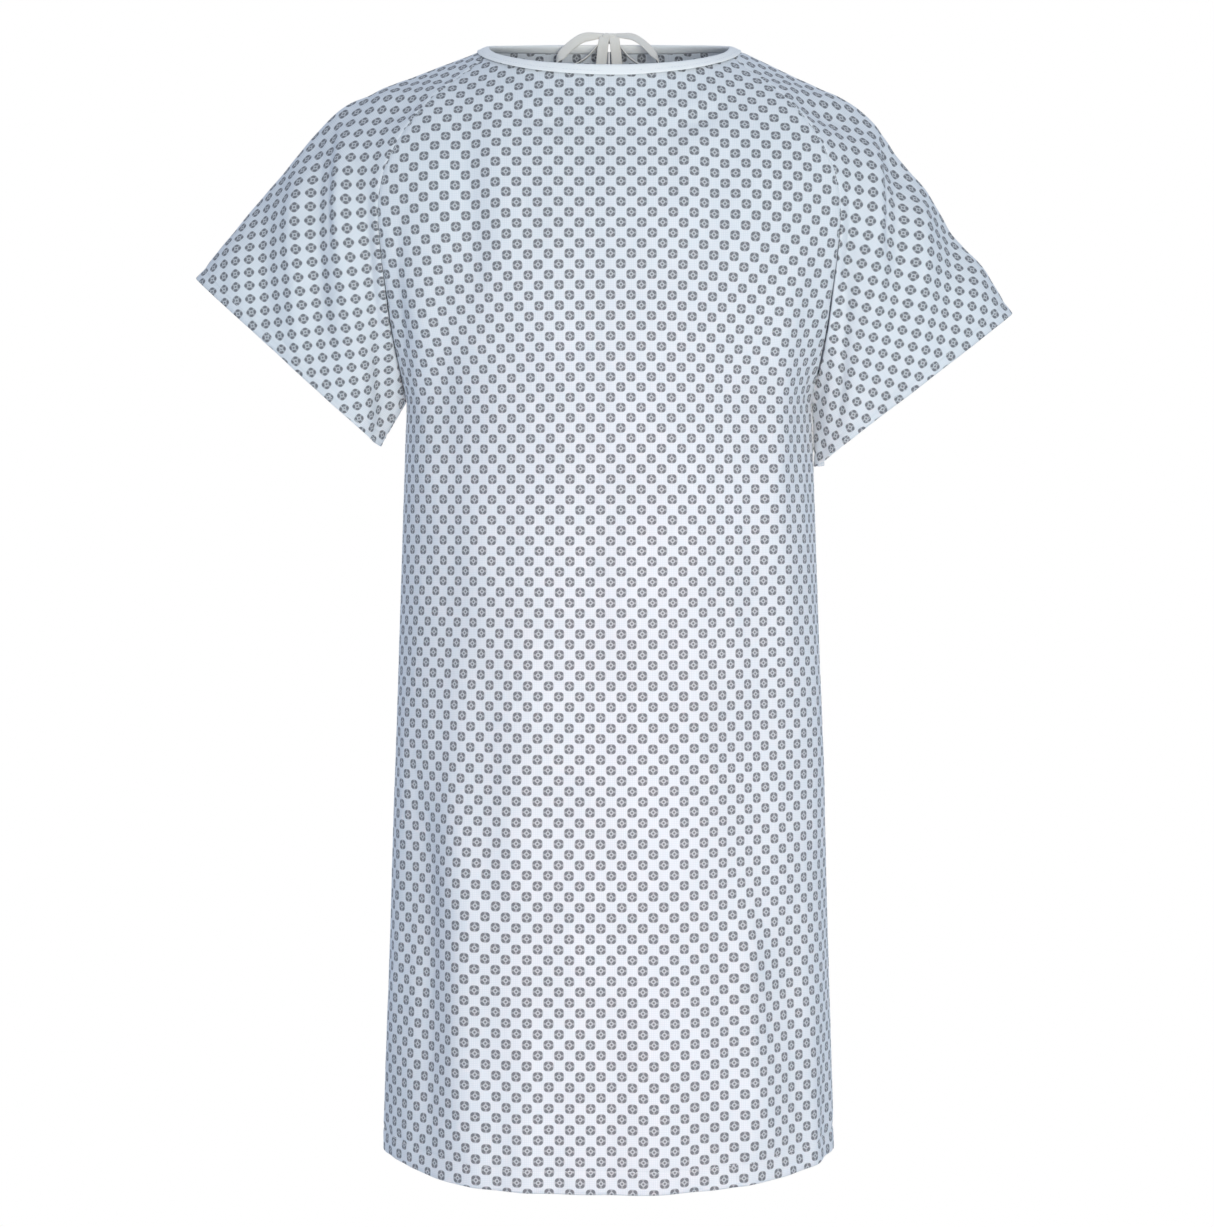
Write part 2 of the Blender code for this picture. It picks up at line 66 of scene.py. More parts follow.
NECK_HALF_WIDTH = 0.112  # a little inside the CAD edge
NECK_HALF_DEPTH = 0.080
NECK_FRONT_DROP = 0.028  # cloth of the front sags a little below the CAD edge
NECK_BACK_RISE = 0.014
SHOULDER_DROP = 0.058
SHOULDER_ROUNDING = 0.030  # tighter than the CAD's
ARMHOLE_HALF_WIDTH = 0.208
ARMHOLE_DEPTH = 0.078
SLEEVE_HEM_WIDTH = 0.234
SLEEVE_HEM_HALF_DEPTH = 0.045
ARMHOLE_SHARE = 0.34
FRONT_SEAM_ANGLE = -16.0
BACK_SEAM_ANGLE = 20.0
NECK_SHARE = 0.10
BINDING_WIDTH = 0.010
HEM_HEIGHT = 0.019
SLEEVE_HEM_HEIGHT = 0.012
EDGE_FACING = 0.022
BACK_EDGE_GAP = 0.0024
TAPE_WIDTH = 0.010

# The two sleeves hang a little differently: where the shoulder turns down, droop below the
# horizontal, length along the top from there, and the droop that the hem stands square to.
LEFT, RIGHT = 1, -1
SIDES = (("left", LEFT), ("right", RIGHT))
SLEEVE_HANG = {LEFT: (0.239, 54.1, 0.232, 52.2), RIGHT: (0.256, 50.4, 0.2013, 47.6)}

# ---- Cloth, in metres ----
CLOTH = 0.0004
LAYER = 0.0009  # from one layer of a folded hem to the next
CLOTH_TOP = 0.0060  # the cloth's raw edge, up inside the folded binding
SEAM_DEPTH = 0.0011
ALLOWANCE = (0.0010, 0.0035, 0.0080)
SIDE_TUCK = 0.0030  # how far a back panel's allowance runs under the front at the side seam
SIDE_DIP = 0.3  # share of the raglan seams' depth that a side seam, where a panel hinges, sinks
GRID = 0.0045
STITCH_LENGTH = 0.0026
STITCH_PITCH = 0.0032
STITCH_RADIUS = 0.00028
PRINT_PERIOD = 0.0184  # of the checkerboard print, across the cloth
PRINT_ROW = 0.0093


# ---- Curves ----
def mix(a, b, t):
    return a + (b - a) * t


def mirrored(p, side):
    return Vector((p.x * side, p.y, p.z))


def ease(t):
    t = max(0.0, min(1.0, t))
    return t * t * (3 - 2 * t)


def bump(distance, width):
    return exp(-(distance / width) ** 2)


def smooth(points, t):
    """The point at share t along a Catmull-Rom curve through the points, by chord length."""
    chords = [(b - a).length for a, b in zip(points, points[1:])]
    target = max(0.0, min(1.0, t)) * sum(chords)
    i = 0
    while i < len(chords) - 1 and target > chords[i]:
        target -= chords[i]
        i += 1
    f = target / chords[i]
    p1, p2 = points[i], points[i + 1]
    p0 = points[i - 1] if i else p1 * 2 - p2
    p3 = points[i + 2] if i + 2 < len(points) else p2 * 2 - p1
    return (p1 * 2 + (p2 - p0) * f + (p0 * 2 - p1 * 5 + p2 * 4 - p3) * f ** 2
            + (p1 * 3 - p0 - p2 * 3 + p3) * f ** 3) / 2


# ---- The smooth gown surface, on the +X side ----
def collar(angle, drop=0.0):
    """A point of the neckline at an angle from +X, or that far down the cloth below it."""
    a = radians(angle)
    rise = NECK_BACK_RISE if a > 0 else NECK_FRONT_DROP
    edge = Vector((NECK_HALF_WIDTH * cos(a), NECK_HALF_DEPTH * sin(a), rise * sin(a)))
    outward = mix(0.40, 0.92, abs(cos(a)) ** 1.5)
    slope = Vector((cos(a) * outward, sin(a) * outward, -sqrt(1 - outward ** 2)))
    return edge + slope.normalized() * drop


def underarm():
    return Vector((CHEST_HALF_WIDTH, 0, -UNDERARM_DROP))


def raglan(t, front):
    """The raglan seam, from the neckline (0) to the underarm (1)."""
    way = -1 if front else 1
    start = collar(FRONT_SEAM_ANGLE if front else BACK_SEAM_ANGLE, CLOTH_TOP)
    shoulder = Vector((mix(start.x, ARMHOLE_HALF_WIDTH, 0.66), way * ARMHOLE_DEPTH * 0.80,
                       -UNDERARM_DROP * 0.21))
    widest = Vector((ARMHOLE_HALF_WIDTH, way * ARMHOLE_DEPTH, -UNDERARM_DROP * 0.43))
    low = Vector((mix(ARMHOLE_HALF_WIDTH, CHEST_HALF_WIDTH, 0.30), way * ARMHOLE_DEPTH * 0.70,
                  -UNDERARM_DROP * 0.74))
    return smooth([start, shoulder, widest, low, underarm()], t)


def panel_edge(v, front):
    if v < ARMHOLE_SHARE:
        return raglan(v / ARMHOLE_SHARE, front)
    hem = Vector((HEM_HALF_WIDTH, 0, -GOWN_LENGTH))
    return mix(underarm(), hem, (v - ARMHOLE_SHARE) / (1 - ARMHOLE_SHARE))


def panel_centre(v, front):
    way = -1 if front else 1
    if v >= ARMHOLE_SHARE:
        t = (v - ARMHOLE_SHARE) / (1 - ARMHOLE_SHARE)
        depth = mix(CHEST_HALF_DEPTH, HEM_HALF_DEPTH, t)
        return Vector((0, way * depth, mix(-UNDERARM_DROP, -GOWN_LENGTH, t)))
    top = collar(way * 90, CLOTH_TOP)
    breast = Vector((0, way * UPPER_CHEST_DEPTH, mix(top.z, -UNDERARM_DROP, 0.40)))
    chest = Vector((0, way * CHEST_HALF_DEPTH, -UNDERARM_DROP))
    return smooth([top, breast, chest], v / ARMHOLE_SHARE)


def half_turn(v, front):
    """How far round, in radians, a panel's row bends from its middle to its side edge."""
    seam = 90 + FRONT_SEAM_ANGLE if front else 90 - BACK_SEAM_ANGLE
    t = min(1.0, v / ARMHOLE_SHARE)
    return radians(mix(mix(seam, 58, min(1.0, t / 0.4)), 90, t ** 2))


def panel(u, v, front):
    """A point of the front or back surface: u from -1 to 1 across it, v from neckline to hem."""
    edge, centre = panel_edge(v, front), panel_centre(v, front)
    turn = half_turn(v, front)
    share = (cos(turn * u) - cos(turn)) / (1 - cos(turn))
    middle = mix(edge, centre, share)
    return Vector((edge.x * sin(turn * u) / sin(turn), middle.y, middle.z))


def shoulder_line(s, hang):
    """The top of a sleeve, from the binding out over the shoulder to the hem."""
    corner_x, droop, length = hang[:3]
    a = radians(droop)
    start, corner = collar(0, CLOTH_TOP), Vector((corner_x, 0, -SHOULDER_DROP))
    inner, outer = corner - start, Vector((cos(a), 0, -sin(a)))
    reach = inner.length
    along = s * (reach + length)
    inner = inner.normalized()
    if along < reach - SHOULDER_ROUNDING:
        return start + inner * along
    if along > reach + SHOULDER_ROUNDING:
        return corner + outer * (along - reach)
    t = (along - reach + SHOULDER_ROUNDING) / (2 * SHOULDER_ROUNDING)
    before, after = corner - inner * SHOULDER_ROUNDING, corner + outer * SHOULDER_ROUNDING
    return mix(mix(before, corner, t), mix(corner, after, t), t)


def sleeve_root(w):
    """The sleeve's inner edge: w from -1, underarm, by the front, over the neck, to +1."""
    if abs(w) <= NECK_SHARE:
        angle = FRONT_SEAM_ANGLE * -w / NECK_SHARE if w < 0 else BACK_SEAM_ANGLE * w / NECK_SHARE
        return collar(angle, CLOTH_TOP)
    return raglan((abs(w) - NECK_SHARE) / (1 - NECK_SHARE), w < 0)


def sleeve_hem(w, hang):
    a = radians(hang[3])
    inward = Vector((-sin(a), 0, -cos(a)))
    half = SLEEVE_HEM_WIDTH / 2
    centre = shoulder_line(1, hang) + inward * half
    return (centre - inward * half * cos(pi * w)
            + Vector((0, SLEEVE_HEM_HALF_DEPTH * sin(pi * w), 0)))


def sleeve(s, w, hang):
    """A point of the +X sleeve: s from its raglan seam to its hem, w round it."""
    crown = shoulder_line(s, hang) - mix(shoulder_line(0, hang), shoulder_line(1, hang), s)
    fade = max(0.0, 1 - abs(w)) ** 1.4
    return mix(sleeve_root(w), sleeve_hem(w, hang), s) + crown * fade


# ---- Drape ----
def near_line(p, line):
    """Distance from (x, z) to a line of such points, and the share of the line reached there."""
    best, place = 1e9, 0.0
    total = sum(dist(a, b) for a, b in zip(line, line[1:]))
    gone = 0.0
    for a, b in zip(line, line[1:]):
        size = dist(a, b)
        t = ((p[0] - a[0]) * (b[0] - a[0]) + (p[1] - a[1]) * (b[1] - a[1])) / size ** 2
        t = max(0.0, min(1.0, t))
        d = dist(p, (mix(a[0], b[0], t), mix(a[1], b[1], t)))
        if d < best:
            best, place = d, (gone + size * t) / total
        gone += size
    return best, place


# Folds of the front: height, half width and the line they follow, as (x, z) points.
FRONT_FOLDS = (
    (-0.0034, 0.008, ((-0.189, -0.130), (-0.193, -0.210), (-0.187, -0.300))),
    (0.0040, 0.014, ((-0.172, -0.180), (-0.170, -0.300), (-0.160, -0.440))),
    (-0.0040, 0.016, ((-0.150, -0.240), (-0.146, -0.380), (-0.138, -0.560))),
    (-0.0056, 0.016, ((-0.172, -0.620), (-0.168, -0.840), (-0.162, -1.030))),
    (0.0062, 0.020, ((-0.136, -0.640), (-0.130, -0.860), (-0.122, -1.030))),
    (-0.0050, 0.017, ((0.158, -0.740), (0.166, -0.900), (0.164, -1.030))),
    (0.0058, 0.018, ((0.126, -0.760), (0.130, -0.920), (0.126, -1.030))),
    (-0.0045, 0.024, ((0.016, -0.720), (0.008, -0.880), (0.002, -1.030))),
    (0.0040, 0.022, ((0.058, -0.800), (0.062, -0.920), (0.060, -1.030))),
    (0.0030, 0.009, ((-0.104, -0.034), (-0.072, -0.056), (-0.026, -0.068))),
    (-0.0032, 0.008, ((-0.106, -0.048), (-0.078, -0.073), (-0.034, -0.087))),
    (0.0024, 0.009, ((0.108, -0.038), (0.080, -0.060), (0.036, -0.074))),
    (-0.0026, 0.009, ((0.110, -0.052), (0.084, -0.076), (0.044, -0.092))),
    (0.0030, 0.013, ((0.092, -0.070), (0.068, -0.120), (0.062, -0.180))),
    (-0.0034, 0.012, ((0.118, -0.080), (0.098, -0.130), (0.088, -0.200))),
    (0.0034, 0.014, ((-0.120, -0.070), (-0.098, -0.140), (-0.094, -0.220))),
    (-0.0030, 0.013, ((-0.140, -0.090), (-0.124, -0.160), (-0.120, -0.250))),
    (-0.0030, 0.012, ((0.187, -0.170), (0.178, -0.280), (0.170, -0.420))),
    (0.0036, 0.014, ((0.160, -0.200), (0.154, -0.330), (0.146, -0.480))),
)
# Folds of the sleeves: most fall straight down from the shoulder.
SLEEVE_FOLDS = (
    (0.0052, 0.011, ((0.243, -0.064), (0.246, -0.150), (0.242, -0.290))),
    (-0.0058, 0.009, ((0.264, -0.066), (0.267, -0.150), (0.264, -0.260))),
    (-0.0034, 0.004, ((0.254, -0.058), (0.256, -0.130), (0.254, -0.200))),
    (0.0044, 0.010, ((0.287, -0.098), (0.290, -0.170), (0.286, -0.290))),
    (-0.0046, 0.011, ((0.316, -0.130), (0.320, -0.190), (0.314, -0.260))),
    (0.0032, 0.011, ((0.343, -0.170), (0.345, -0.200), (0.340, -0.240))),
    (-0.0062, 0.008, ((0.221, -0.120), (0.217, -0.200), (0.207, -0.360))),
    (0.0028, 0.010, ((0.226, -0.060), (0.190, -0.050), (0.150, -0.040))),
    (-0.0024, 0.009, ((0.226, -0.082), (0.196, -0.070), (0.156, -0.058))),
)


def folds(p, lines, mirror=1):
    height = 0.0
    for lift, width, line in lines:
        distance, place = near_line((p.x * mirror, p.z), line)
        if distance < 3 * width:
            height += lift * bump(distance, width) * ease(place * 3) * ease((1.12 - place) * 3)
    return height


def drape(p):
    """How far hanging cloth stands off the smooth gown: soft upright folds that grow downwards."""
    fall = ease((-p.z - 0.05) / 0.9)
    broad = noise.noise(Vector((p.x * 13, p.y * 13, p.z * 2.0 + 4.0)))
    fine = noise.noise(Vector((p.x * 34, p.y * 34, p.z * 6.0)))
    rumple = noise.noise(Vector((p.x * 60 + 9, p.y * 60, p.z * 48)))
    return broad * mix(0.0030, 0.0088, fall) + fine * mix(0.0018, 0.0034, fall) + rumple * 0.0007


# ---- Grids of cloth ----
def shares(length, step, fine=(True, True), marks=()):
    """Stations from 0 to 1 of a length: a step apart, closer at a seam and beside each mark."""
    close = (0.0008, 0.0018, 0.0030, 0.0048, 0.0072)
    found = {0.0, length}
    if fine[0]:
        found.update(close)
    if fine[1]:
        found.update(length - d for d in close)
    for mark in marks:
        found.update((mark - 0.0022, mark - 0.0009, mark, mark + 0.0009, mark + 0.0022))
    count = round(length / step)
    for i in range(1, count):
        place = length * i / count
        if min(abs(place - other) for other in found) > step * 0.45:
            found.add(place)
    return [d / length for d in sorted(found) if 0 <= d <= length]


def lay(surface, across, down):
    return np.array([[surface(a, b) for a in across] for b in down])


def normals(grid, core):
    """Unit normals of a grid of points, away from the core point of each."""
    n = np.cross(np.gradient(grid, axis=1), np.gradient(grid, axis=0))
    n /= np.linalg.norm(n, axis=2)[..., None] + 1e-12
    way = np.sign(np.sum(n * (grid - core), axis=2))
    return n * np.where(way == 0, 1, way)[..., None]


def run(grid, axis):
    """Distance along each row or column of a grid of points, from its start."""
    steps = np.linalg.norm(np.diff(grid, axis=axis), axis=2)
    pad = [(0, 0), (0, 0)]
    pad[axis] = (1, 0)
    return np.cumsum(np.pad(steps, pad), axis=axis)


def new_object(name, data):
    ob = bpy.data.objects.new(name, data)
    bpy.context.scene.collection.objects.link(ob)
    return ob


def flat_pattern(grid):
    """The cut pattern of a cloth piece: each point's place on the flat cloth, in metres."""
    rows, columns = grid.shape[:2]
    mesh = grid_mesh("pattern", grid, np.zeros((rows, columns, 2)))
    ob = new_object("pattern", mesh)
    bpy.context.view_layer.objects.active = ob
    ob.select_set(True)
    bpy.ops.object.mode_set(mode="EDIT")
    bpy.ops.mesh.select_all(action="SELECT")
    bpy.ops.uv.unwrap(method="ANGLE_BASED", margin=0)
    bpy.ops.object.mode_set(mode="OBJECT")
    place = np.zeros((len(mesh.vertices), 2))
    for loop, uv in zip(mesh.loops, mesh.uv_layers["Grain"].data):
        place[loop.vertex_index] = uv.uv
    bpy.data.objects.remove(ob)
    place = place.reshape(rows, columns, 2)
    true = np.linalg.norm(np.diff(grid, axis=0), axis=2).sum()
    place *= true / np.linalg.norm(np.diff(place, axis=0), axis=2).sum()
    middle = columns // 2
    down = place[-1, middle] - place[rows // 2, middle]
    angle = atan2(down[0], -down[1])
    turn = np.array([[cos(angle), -sin(angle)], [sin(angle), cos(angle)]])
    place = (place - place[-1, middle]) @ turn
    if place[0, -1, 0] < place[0, 0, 0]:
        place[..., 0] *= -1
    return place


def grain(grid):
    """Flat places for a fine grid, from its pattern at every third point."""
    def every_third(count):
        return sorted({*range(0, count, 3), count - 1})
    rows, columns = every_third(grid.shape[0]), every_third(grid.shape[1])
    coarse = flat_pattern(grid[np.ix_(rows, columns)])
    wide = np.empty((len(rows), grid.shape[1], 2))
    across, down = run(grid, 1), run(grid, 0)
    for i, row in enumerate(rows):
        for k in range(2):
            wide[i, :, k] = np.interp(across[row], across[row][columns], coarse[i, :, k])
    full = np.empty(grid.shape[:2] + (2,))
    for j in range(grid.shape[1]):
        for k in range(2):
            full[:, j, k] = np.interp(down[:, j], down[rows, j], wide[:, j, k])
    return full


def pattern_size(uv):
    """Width and height of the flat pattern, and its area in square metres."""
    a, b = uv[1:, 1:] - uv[:-1, :-1], uv[1:, :-1] - uv[:-1, 1:]
    area = float(abs(a[..., 0] * b[..., 1] - a[..., 1] * b[..., 0]).sum() / 2)
    return np.ptp(uv.reshape(-1, 2), axis=0), area


def folded_rows(grid, n, uv, depth, layers=1):
    """Adds the rows of a hem turned up inside: the last rows again, one layer further in."""
    height = run(grid, 0)
    inside = [i for i in range(grid.shape[0]) if np.median(height[-1] - height[i]) < depth * 1.02]
    rows = inside[::-1]
    edge = grid[-1:] - n[-1:] * LAYER * layers / 2 + (grid[-1:] - grid[-2:-1]) * 0.15
    inner = grid[rows[1:]] - n[rows[1:]] * LAYER * layers
    flat = uv[-1:] * 2 - uv[rows[1:]]
    return (np.concatenate([grid, edge, inner]), np.concatenate([n, n[-1:], n[rows[1:]]]),
            np.concatenate([uv, uv[-1:] + (uv[-1:] - uv[-2:-1]) * 0.15, flat]))


def swapped(grids):
    return [g.swapaxes(0, 1) for g in grids]


def turned_in(grid, n, uv, ends=(True, True), tuck=0.0):
    """Adds the seam allowances: the side edges run on inside the gown, and by the tuck past the seam."""
    for end, wanted in enumerate(ends):
        if not wanted:
            continue
        k = -1 if end else 0
        extra, flat = [], []
        outward = grid[:, k] - grid[:, k - 1 if end else 1]
        outward /= np.linalg.norm(outward, axis=1)[:, None] + 1e-12
        for depth in ALLOWANCE:
            extra.append(grid[:, k] - n[:, k] * depth + outward * tuck)
            flat.append(uv[:, k] + (uv[:, k] - uv[:, k - 1 if end else 1]) * (depth / 0.0008))
        extra, flat = np.stack(extra, 1), np.stack(flat, 1)
        same = np.repeat(n[:, k][:, None], len(ALLOWANCE), 1)
        grid, uv, n = (np.concatenate([a, b] if end else [b[:, ::-1], a], 1)
                       for a, b in ((grid, extra), (uv, flat), (n, same)))
    return grid, n, uv


def grained_mesh(name, points, faces, flat):
    """A mesh whose UV, named Grain, is each point's place on the flat cloth, in metres."""
    mesh = bpy.data.meshes.new(name)
    mesh.from_pydata(points.tolist(), [], faces)
    layer = mesh.uv_layers.new(name="Grain")
    corner = np.empty(len(mesh.loops), dtype=np.int64)
    mesh.loops.foreach_get("vertex_index", corner)
    layer.data.foreach_set("uv", flat[corner].astype(np.float32).ravel())
    return mesh


def grid_mesh(name, grid, uv):
    """A sheet of quads over a grid of points."""
    rows, columns = grid.shape[:2]
    faces = []
    for j in range(rows - 1):
        for i in range(columns - 1):
            k = j * columns + i
            faces.append((k, k + columns, k + columns + 1, k + 1))
    return grained_mesh(name, grid.reshape(-1, 3), faces, uv.reshape(-1, 2))


def link(name, mesh, mat):
    ob = new_object(name, mesh)
    mesh.materials.append(mat)
    mesh.shade_smooth()
    return ob


def sheet(name, grid, uv, mat, thickness, offset=0.0):
    """A grid of points as one sheet of cloth or tape with its thickness."""
    ob = link(name, grid_mesh(name, grid, uv), mat)
    shell = ob.modifiers.new("Thickness", "SOLIDIFY")
    shell.thickness = thickness
    shell.offset = offset
    return ob


# ---- Materials ----
class Nodes:
    """Short names for building a material's node tree."""

    def __init__(self, name, rough, sheen):
        self.mat = bpy.data.materials.new(name)
        self.mat.use_nodes = True
        self.tree = self.mat.node_tree
        self.shader = self.tree.nodes["Principled BSDF"]
        for key, value in (("Roughness", rough), ("Specular IOR Level", 0.25), ("Sheen Weight", sheen),
                           ("Sheen Roughness", 0.45)):
            self.shader.inputs[key].default_value = value

    def node(self, kind, **values):
        made = self.tree.nodes.new(kind)
        for key, value in values.items():
            setattr(made, key, value)
        return made

    def join(self, source, target):
        self.tree.links.new(source, target)

    def feed(self, socket, value):
        """Gives a socket a number or a colour, or joins another socket to it."""
        if isinstance(value, (int, float)):
            socket.default_value = value
        elif isinstance(value, tuple):
            socket.default_value = (*value, 1)
        else:
            self.join(value, socket)

    def math(self, operation, a, b=0.0, c=0.0):
        made = self.node("ShaderNodeMath", operation=operation)
        for socket, value in zip(made.inputs, (a, b, c)):
            self.feed(socket, value)
        return made.outputs[0]

    def add(self, a, b):
        return self.math("ADD", a, b)

    def less(self, a, b):
        return self.math("SUBTRACT", a, b)

    def times(self, a, b):
        return self.math("MULTIPLY", a, b)

    def scaled(self, a, by, plus):
        return self.math("MULTIPLY_ADD", a, by, plus)

    def grain(self):
        """U and V on the flat cloth, in metres."""
        uv = self.node("ShaderNodeUVMap", uv_map="Grain")
        split = self.node("ShaderNodeSeparateXYZ")
        self.join(uv.outputs[0], split.inputs[0])
        return uv.outputs[0], split.outputs[0], split.outputs[1]

    def colours(self, factor, a, b):
        made = self.node("ShaderNodeMix", data_type="RGBA")
        for key, value in (("Factor", factor), (6, a), (7, b)):
            self.feed(made.inputs[key], value)
        return made.outputs[2]

    def texture(self, vector, scale, detail=2.0, stretch=(1, 1, 1)):
        mapping = self.node("ShaderNodeMapping")
        mapping.inputs["Scale"].default_value = stretch
        self.join(vector, mapping.inputs[0])
        made = self.node("ShaderNodeTexNoise")
        made.inputs["Scale"].default_value = scale
        made.inputs["Detail"].default_value = detail
        self.join(mapping.outputs[0], made.inputs["Vector"])
        return made.outputs["Fac"]

    def step(self, value, low, high, flip=False):
        """A soft step from 0 at low to 1 at high, or from 1 down to 0."""
        made = self.node("ShaderNodeMapRange", interpolation_type="SMOOTHSTEP")
        self.join(value, made.inputs["Value"])
        for key, number in (("From Min", low), ("From Max", high), ("To Min", float(flip)),
                            ("To Max", float(not flip))):
            made.inputs[key].default_value = number
        return made.outputs["Result"]

    def bumps(self, *heights):
        """Chains bumps given as (height socket, distance in metres)."""
        last = None
        for height, distance in heights:
            made = self.node("ShaderNodeBump")
            made.inputs["Distance"].default_value = distance
            made.inputs["Strength"].default_value = 1.0
            self.join(height, made.inputs["Height"])
            if last is not None:
                self.join(last, made.inputs["Normal"])
            last = made.outputs[0]
        self.join(last, self.shader.inputs["Normal"])

    def paint(self, colour, rough):
        self.join(colour, self.shader.inputs["Base Color"])
        self.join(rough, self.shader.inputs["Roughness"])

    def weave(self, u, v, yarn):
        """Plain weave: yarns over and under each other, 0 to 1."""
        a = self.math("SINE", self.times(u, pi / yarn))
        b = self.math("SINE", self.times(v, pi / yarn))
        return self.scaled(self.times(a, b), 0.5, 0.5)

    def distance(self, x, y):
        return self.math("SQRT", self.add(self.math("POWER", x, 2), self.math("POWER", y, 2)))


GROUND = (0.800, 0.815, 0.850)
GROUND_LINE = (0.66, 0.70, 0.76)
MOTIF = (0.400, 0.405, 0.430)
MOTIF_DARK = (0.190, 0.195, 0.215)
MOTIF_LIGHT = (0.64, 0.65, 0.68)
MOTIF_POWER = 2.7  # of the motif's outline: 2 is round, more is squarer


def printed_cloth():
    """Pale cotton with a checkerboard of small rounded rosettes, half-dropped row by row."""
    n = Nodes("gown printed cotton", 0.88, 0.12)
    grain_uv, u, v = n.grain()
    wobble = n.times(n.less(n.texture(grain_uv, 60, 2), 0.5), 0.0010)
    column = n.math("DIVIDE", n.add(u, wobble), PRINT_PERIOD)
    row = n.math("DIVIDE", n.add(v, wobble), PRINT_ROW)
    shift = n.times(n.math("FLOORED_MODULO", n.math("ROUND", row), 2.0), 0.5)
    across = n.math("FRACT", n.add(column, shift))
    x = n.times(n.less(across, 0.5), PRINT_PERIOD)
    y = n.times(n.less(row, n.math("ROUND", row)), PRINT_ROW)
    ax, ay = n.math("ABSOLUTE", x), n.math("ABSOLUTE", y)
    raised = n.add(n.math("POWER", ax, MOTIF_POWER), n.math("POWER", ay, MOTIF_POWER))
    outline = n.math("POWER", raised, 1 / MOTIF_POWER)
    inside = n.step(outline, 0.0040, 0.0047, flip=True)
    petal = n.step(n.distance(n.less(ax, 0.0023), n.less(ay, 0.0023)),
                   0.0012, 0.0024, flip=True)
    radius = n.distance(x, y)
    ring = n.step(n.math("ABSOLUTE", n.less(radius, 0.00165)), 0.00020, 0.00065, flip=True)
    dot = n.step(radius, 0.0006, 0.0011, flip=True)
    gap = n.math("MINIMUM", ax, ay)
    notch = n.times(n.step(gap, 0.0002, 0.0006, flip=True), n.step(radius, 0.0017, 0.0024))
    notch = n.times(notch, n.step(outline, 0.0034, 0.0041, flip=True))

    thread_line = n.math("PINGPONG", n.add(u, 10.0), 0.0008)
    cross_line = n.math("PINGPONG", n.add(v, 10.0), 0.0008)
    lines = n.step(n.math("MINIMUM", thread_line, cross_line), 0.00008, 0.00030, flip=True)
    ground = n.colours(n.times(lines, 0.75), GROUND, GROUND_LINE)
    motif = n.colours(petal, MOTIF, MOTIF_DARK)
    motif = n.colours(n.times(ring, 0.85), motif, MOTIF_LIGHT)
    motif = n.colours(n.times(notch, 0.30), motif, MOTIF_LIGHT)
    motif = n.colours(dot, motif, MOTIF_DARK)
    ink = n.texture(grain_uv, 2400, 3)
    cover = n.times(inside, n.step(ink, 0.12, 0.42))
    colour = n.colours(n.scaled(cover, 0.75, n.times(inside, 0.25)), ground, motif)
    slub = n.texture(grain_uv, 900, 2, (1, 0.05, 1))
    worn = n.texture(grain_uv, 9, 3)
    tone = n.add(n.times(slub, 0.10), n.times(worn, 0.10))
    shade = n.node("ShaderNodeHueSaturation")
    n.join(n.add(tone, 0.90), shade.inputs["Value"])
    n.join(colour, shade.inputs["Color"])
    n.paint(shade.outputs[0], n.scaled(slub, 0.16, 0.78))
    n.bumps((n.texture(grain_uv, 38, 4), 0.0011), (n.texture(grain_uv, 150, 3), 0.00030),
            (n.weave(u, v, 0.00045), 0.00005))
    return n.mat


def woven(name, colour, hollow_shade, yarn, twill):
    """White binding or tape: a fine weave, in a herringbone where it is twill, its colour darkened in the
    weave's hollows as painted shade.
    """
    n = Nodes(name, 0.82, 0.15)
    grain_uv, u, v = n.grain()
    if twill:
        rib = n.math("PINGPONG", n.add(u, 10.0), 0.0025)
        wave = n.math("SINE", n.times(n.add(v, rib), pi / yarn))
        height = n.scaled(wave, 0.5, 0.5)
    else:
        height = n.weave(u, v, yarn)
    blotch = n.texture(grain_uv, 70, 3)
    # Painted shade: the colour goes darker in the hollows of the weave, with a random blotchy tone added on
    # top.
    hollow_shade_and_blotch = n.add(n.times(n.step(height, 0.0, 0.6, flip=True), 0.45),
                   n.times(blotch, 0.25))
    n.paint(n.colours(hollow_shade_and_blotch, colour, hollow_shade), n.scaled(blotch, 0.14, 0.74))
    n.bumps((n.texture(grain_uv, 120, 3), 0.0005), (height, 0.00018 if twill else 0.00008))
    return n.mat


def spun_thread():
    """Two-ply sewing thread: a twist along each stitch."""
    n = Nodes("gown sewing thread", 0.55, 0.2)
    grain_uv, u, v = n.grain()
    slant = n.add(n.times(u, 0.8), v)
    twist = n.math("SINE", n.times(slant, 2 * pi / 0.0009))
    n.paint(n.colours(n.scaled(twist, 0.2, 0.2), (0.80, 0.83, 0.86), (0.50, 0.54, 0.60)),
            n.scaled(n.texture(grain_uv, 900, 2), 0.2, 0.45))
    n.bumps((n.scaled(twist, 0.5, 0.5), 0.00012))
    return n.mat


PRINT = printed_cloth()
# The second colour of each is painted shade, for the hollows of its weave.
BINDING = woven("gown neck binding", (0.975, 0.972, 0.968), (0.90, 0.90, 0.91), 0.00045, False)
TAPE = woven("gown twill tape", (0.98, 0.93, 0.86), (0.84, 0.78, 0.70), 0.0008, True)
THREAD = spun_thread()


# ---- Stitching ----
def stitch_form():
    """One stitch along +X, unit length, as rings of six points."""
    rings = ((-0.5, 0.25), (-0.36, 0.85), (0.0, 1.0), (0.36, 0.85), (0.5, 0.25))
    points, faces = [], []
    for x, r in rings:
        for i in range(6):
            a = tau * i / 6
            points.append((x, r * cos(a), r * sin(a)))
    for k in range(len(rings) - 1):
        for i in range(6):
            a, b = k * 6 + i, k * 6 + (i + 1) % 6
            faces.append((a, b, b + 6, a + 6))
    last = (len(rings) - 1) * 6
    faces.append(tuple(range(5, -1, -1)))
    faces.append(tuple(range(last, last + 6)))
    return np.array(points), faces


STITCH_POINTS, STITCH_FACES = stitch_form()


def travelled(path):
    """Distance along a path of points, at each of them."""
    return np.concatenate([[0], np.cumsum(np.linalg.norm(np.diff(path, axis=0), axis=1))])


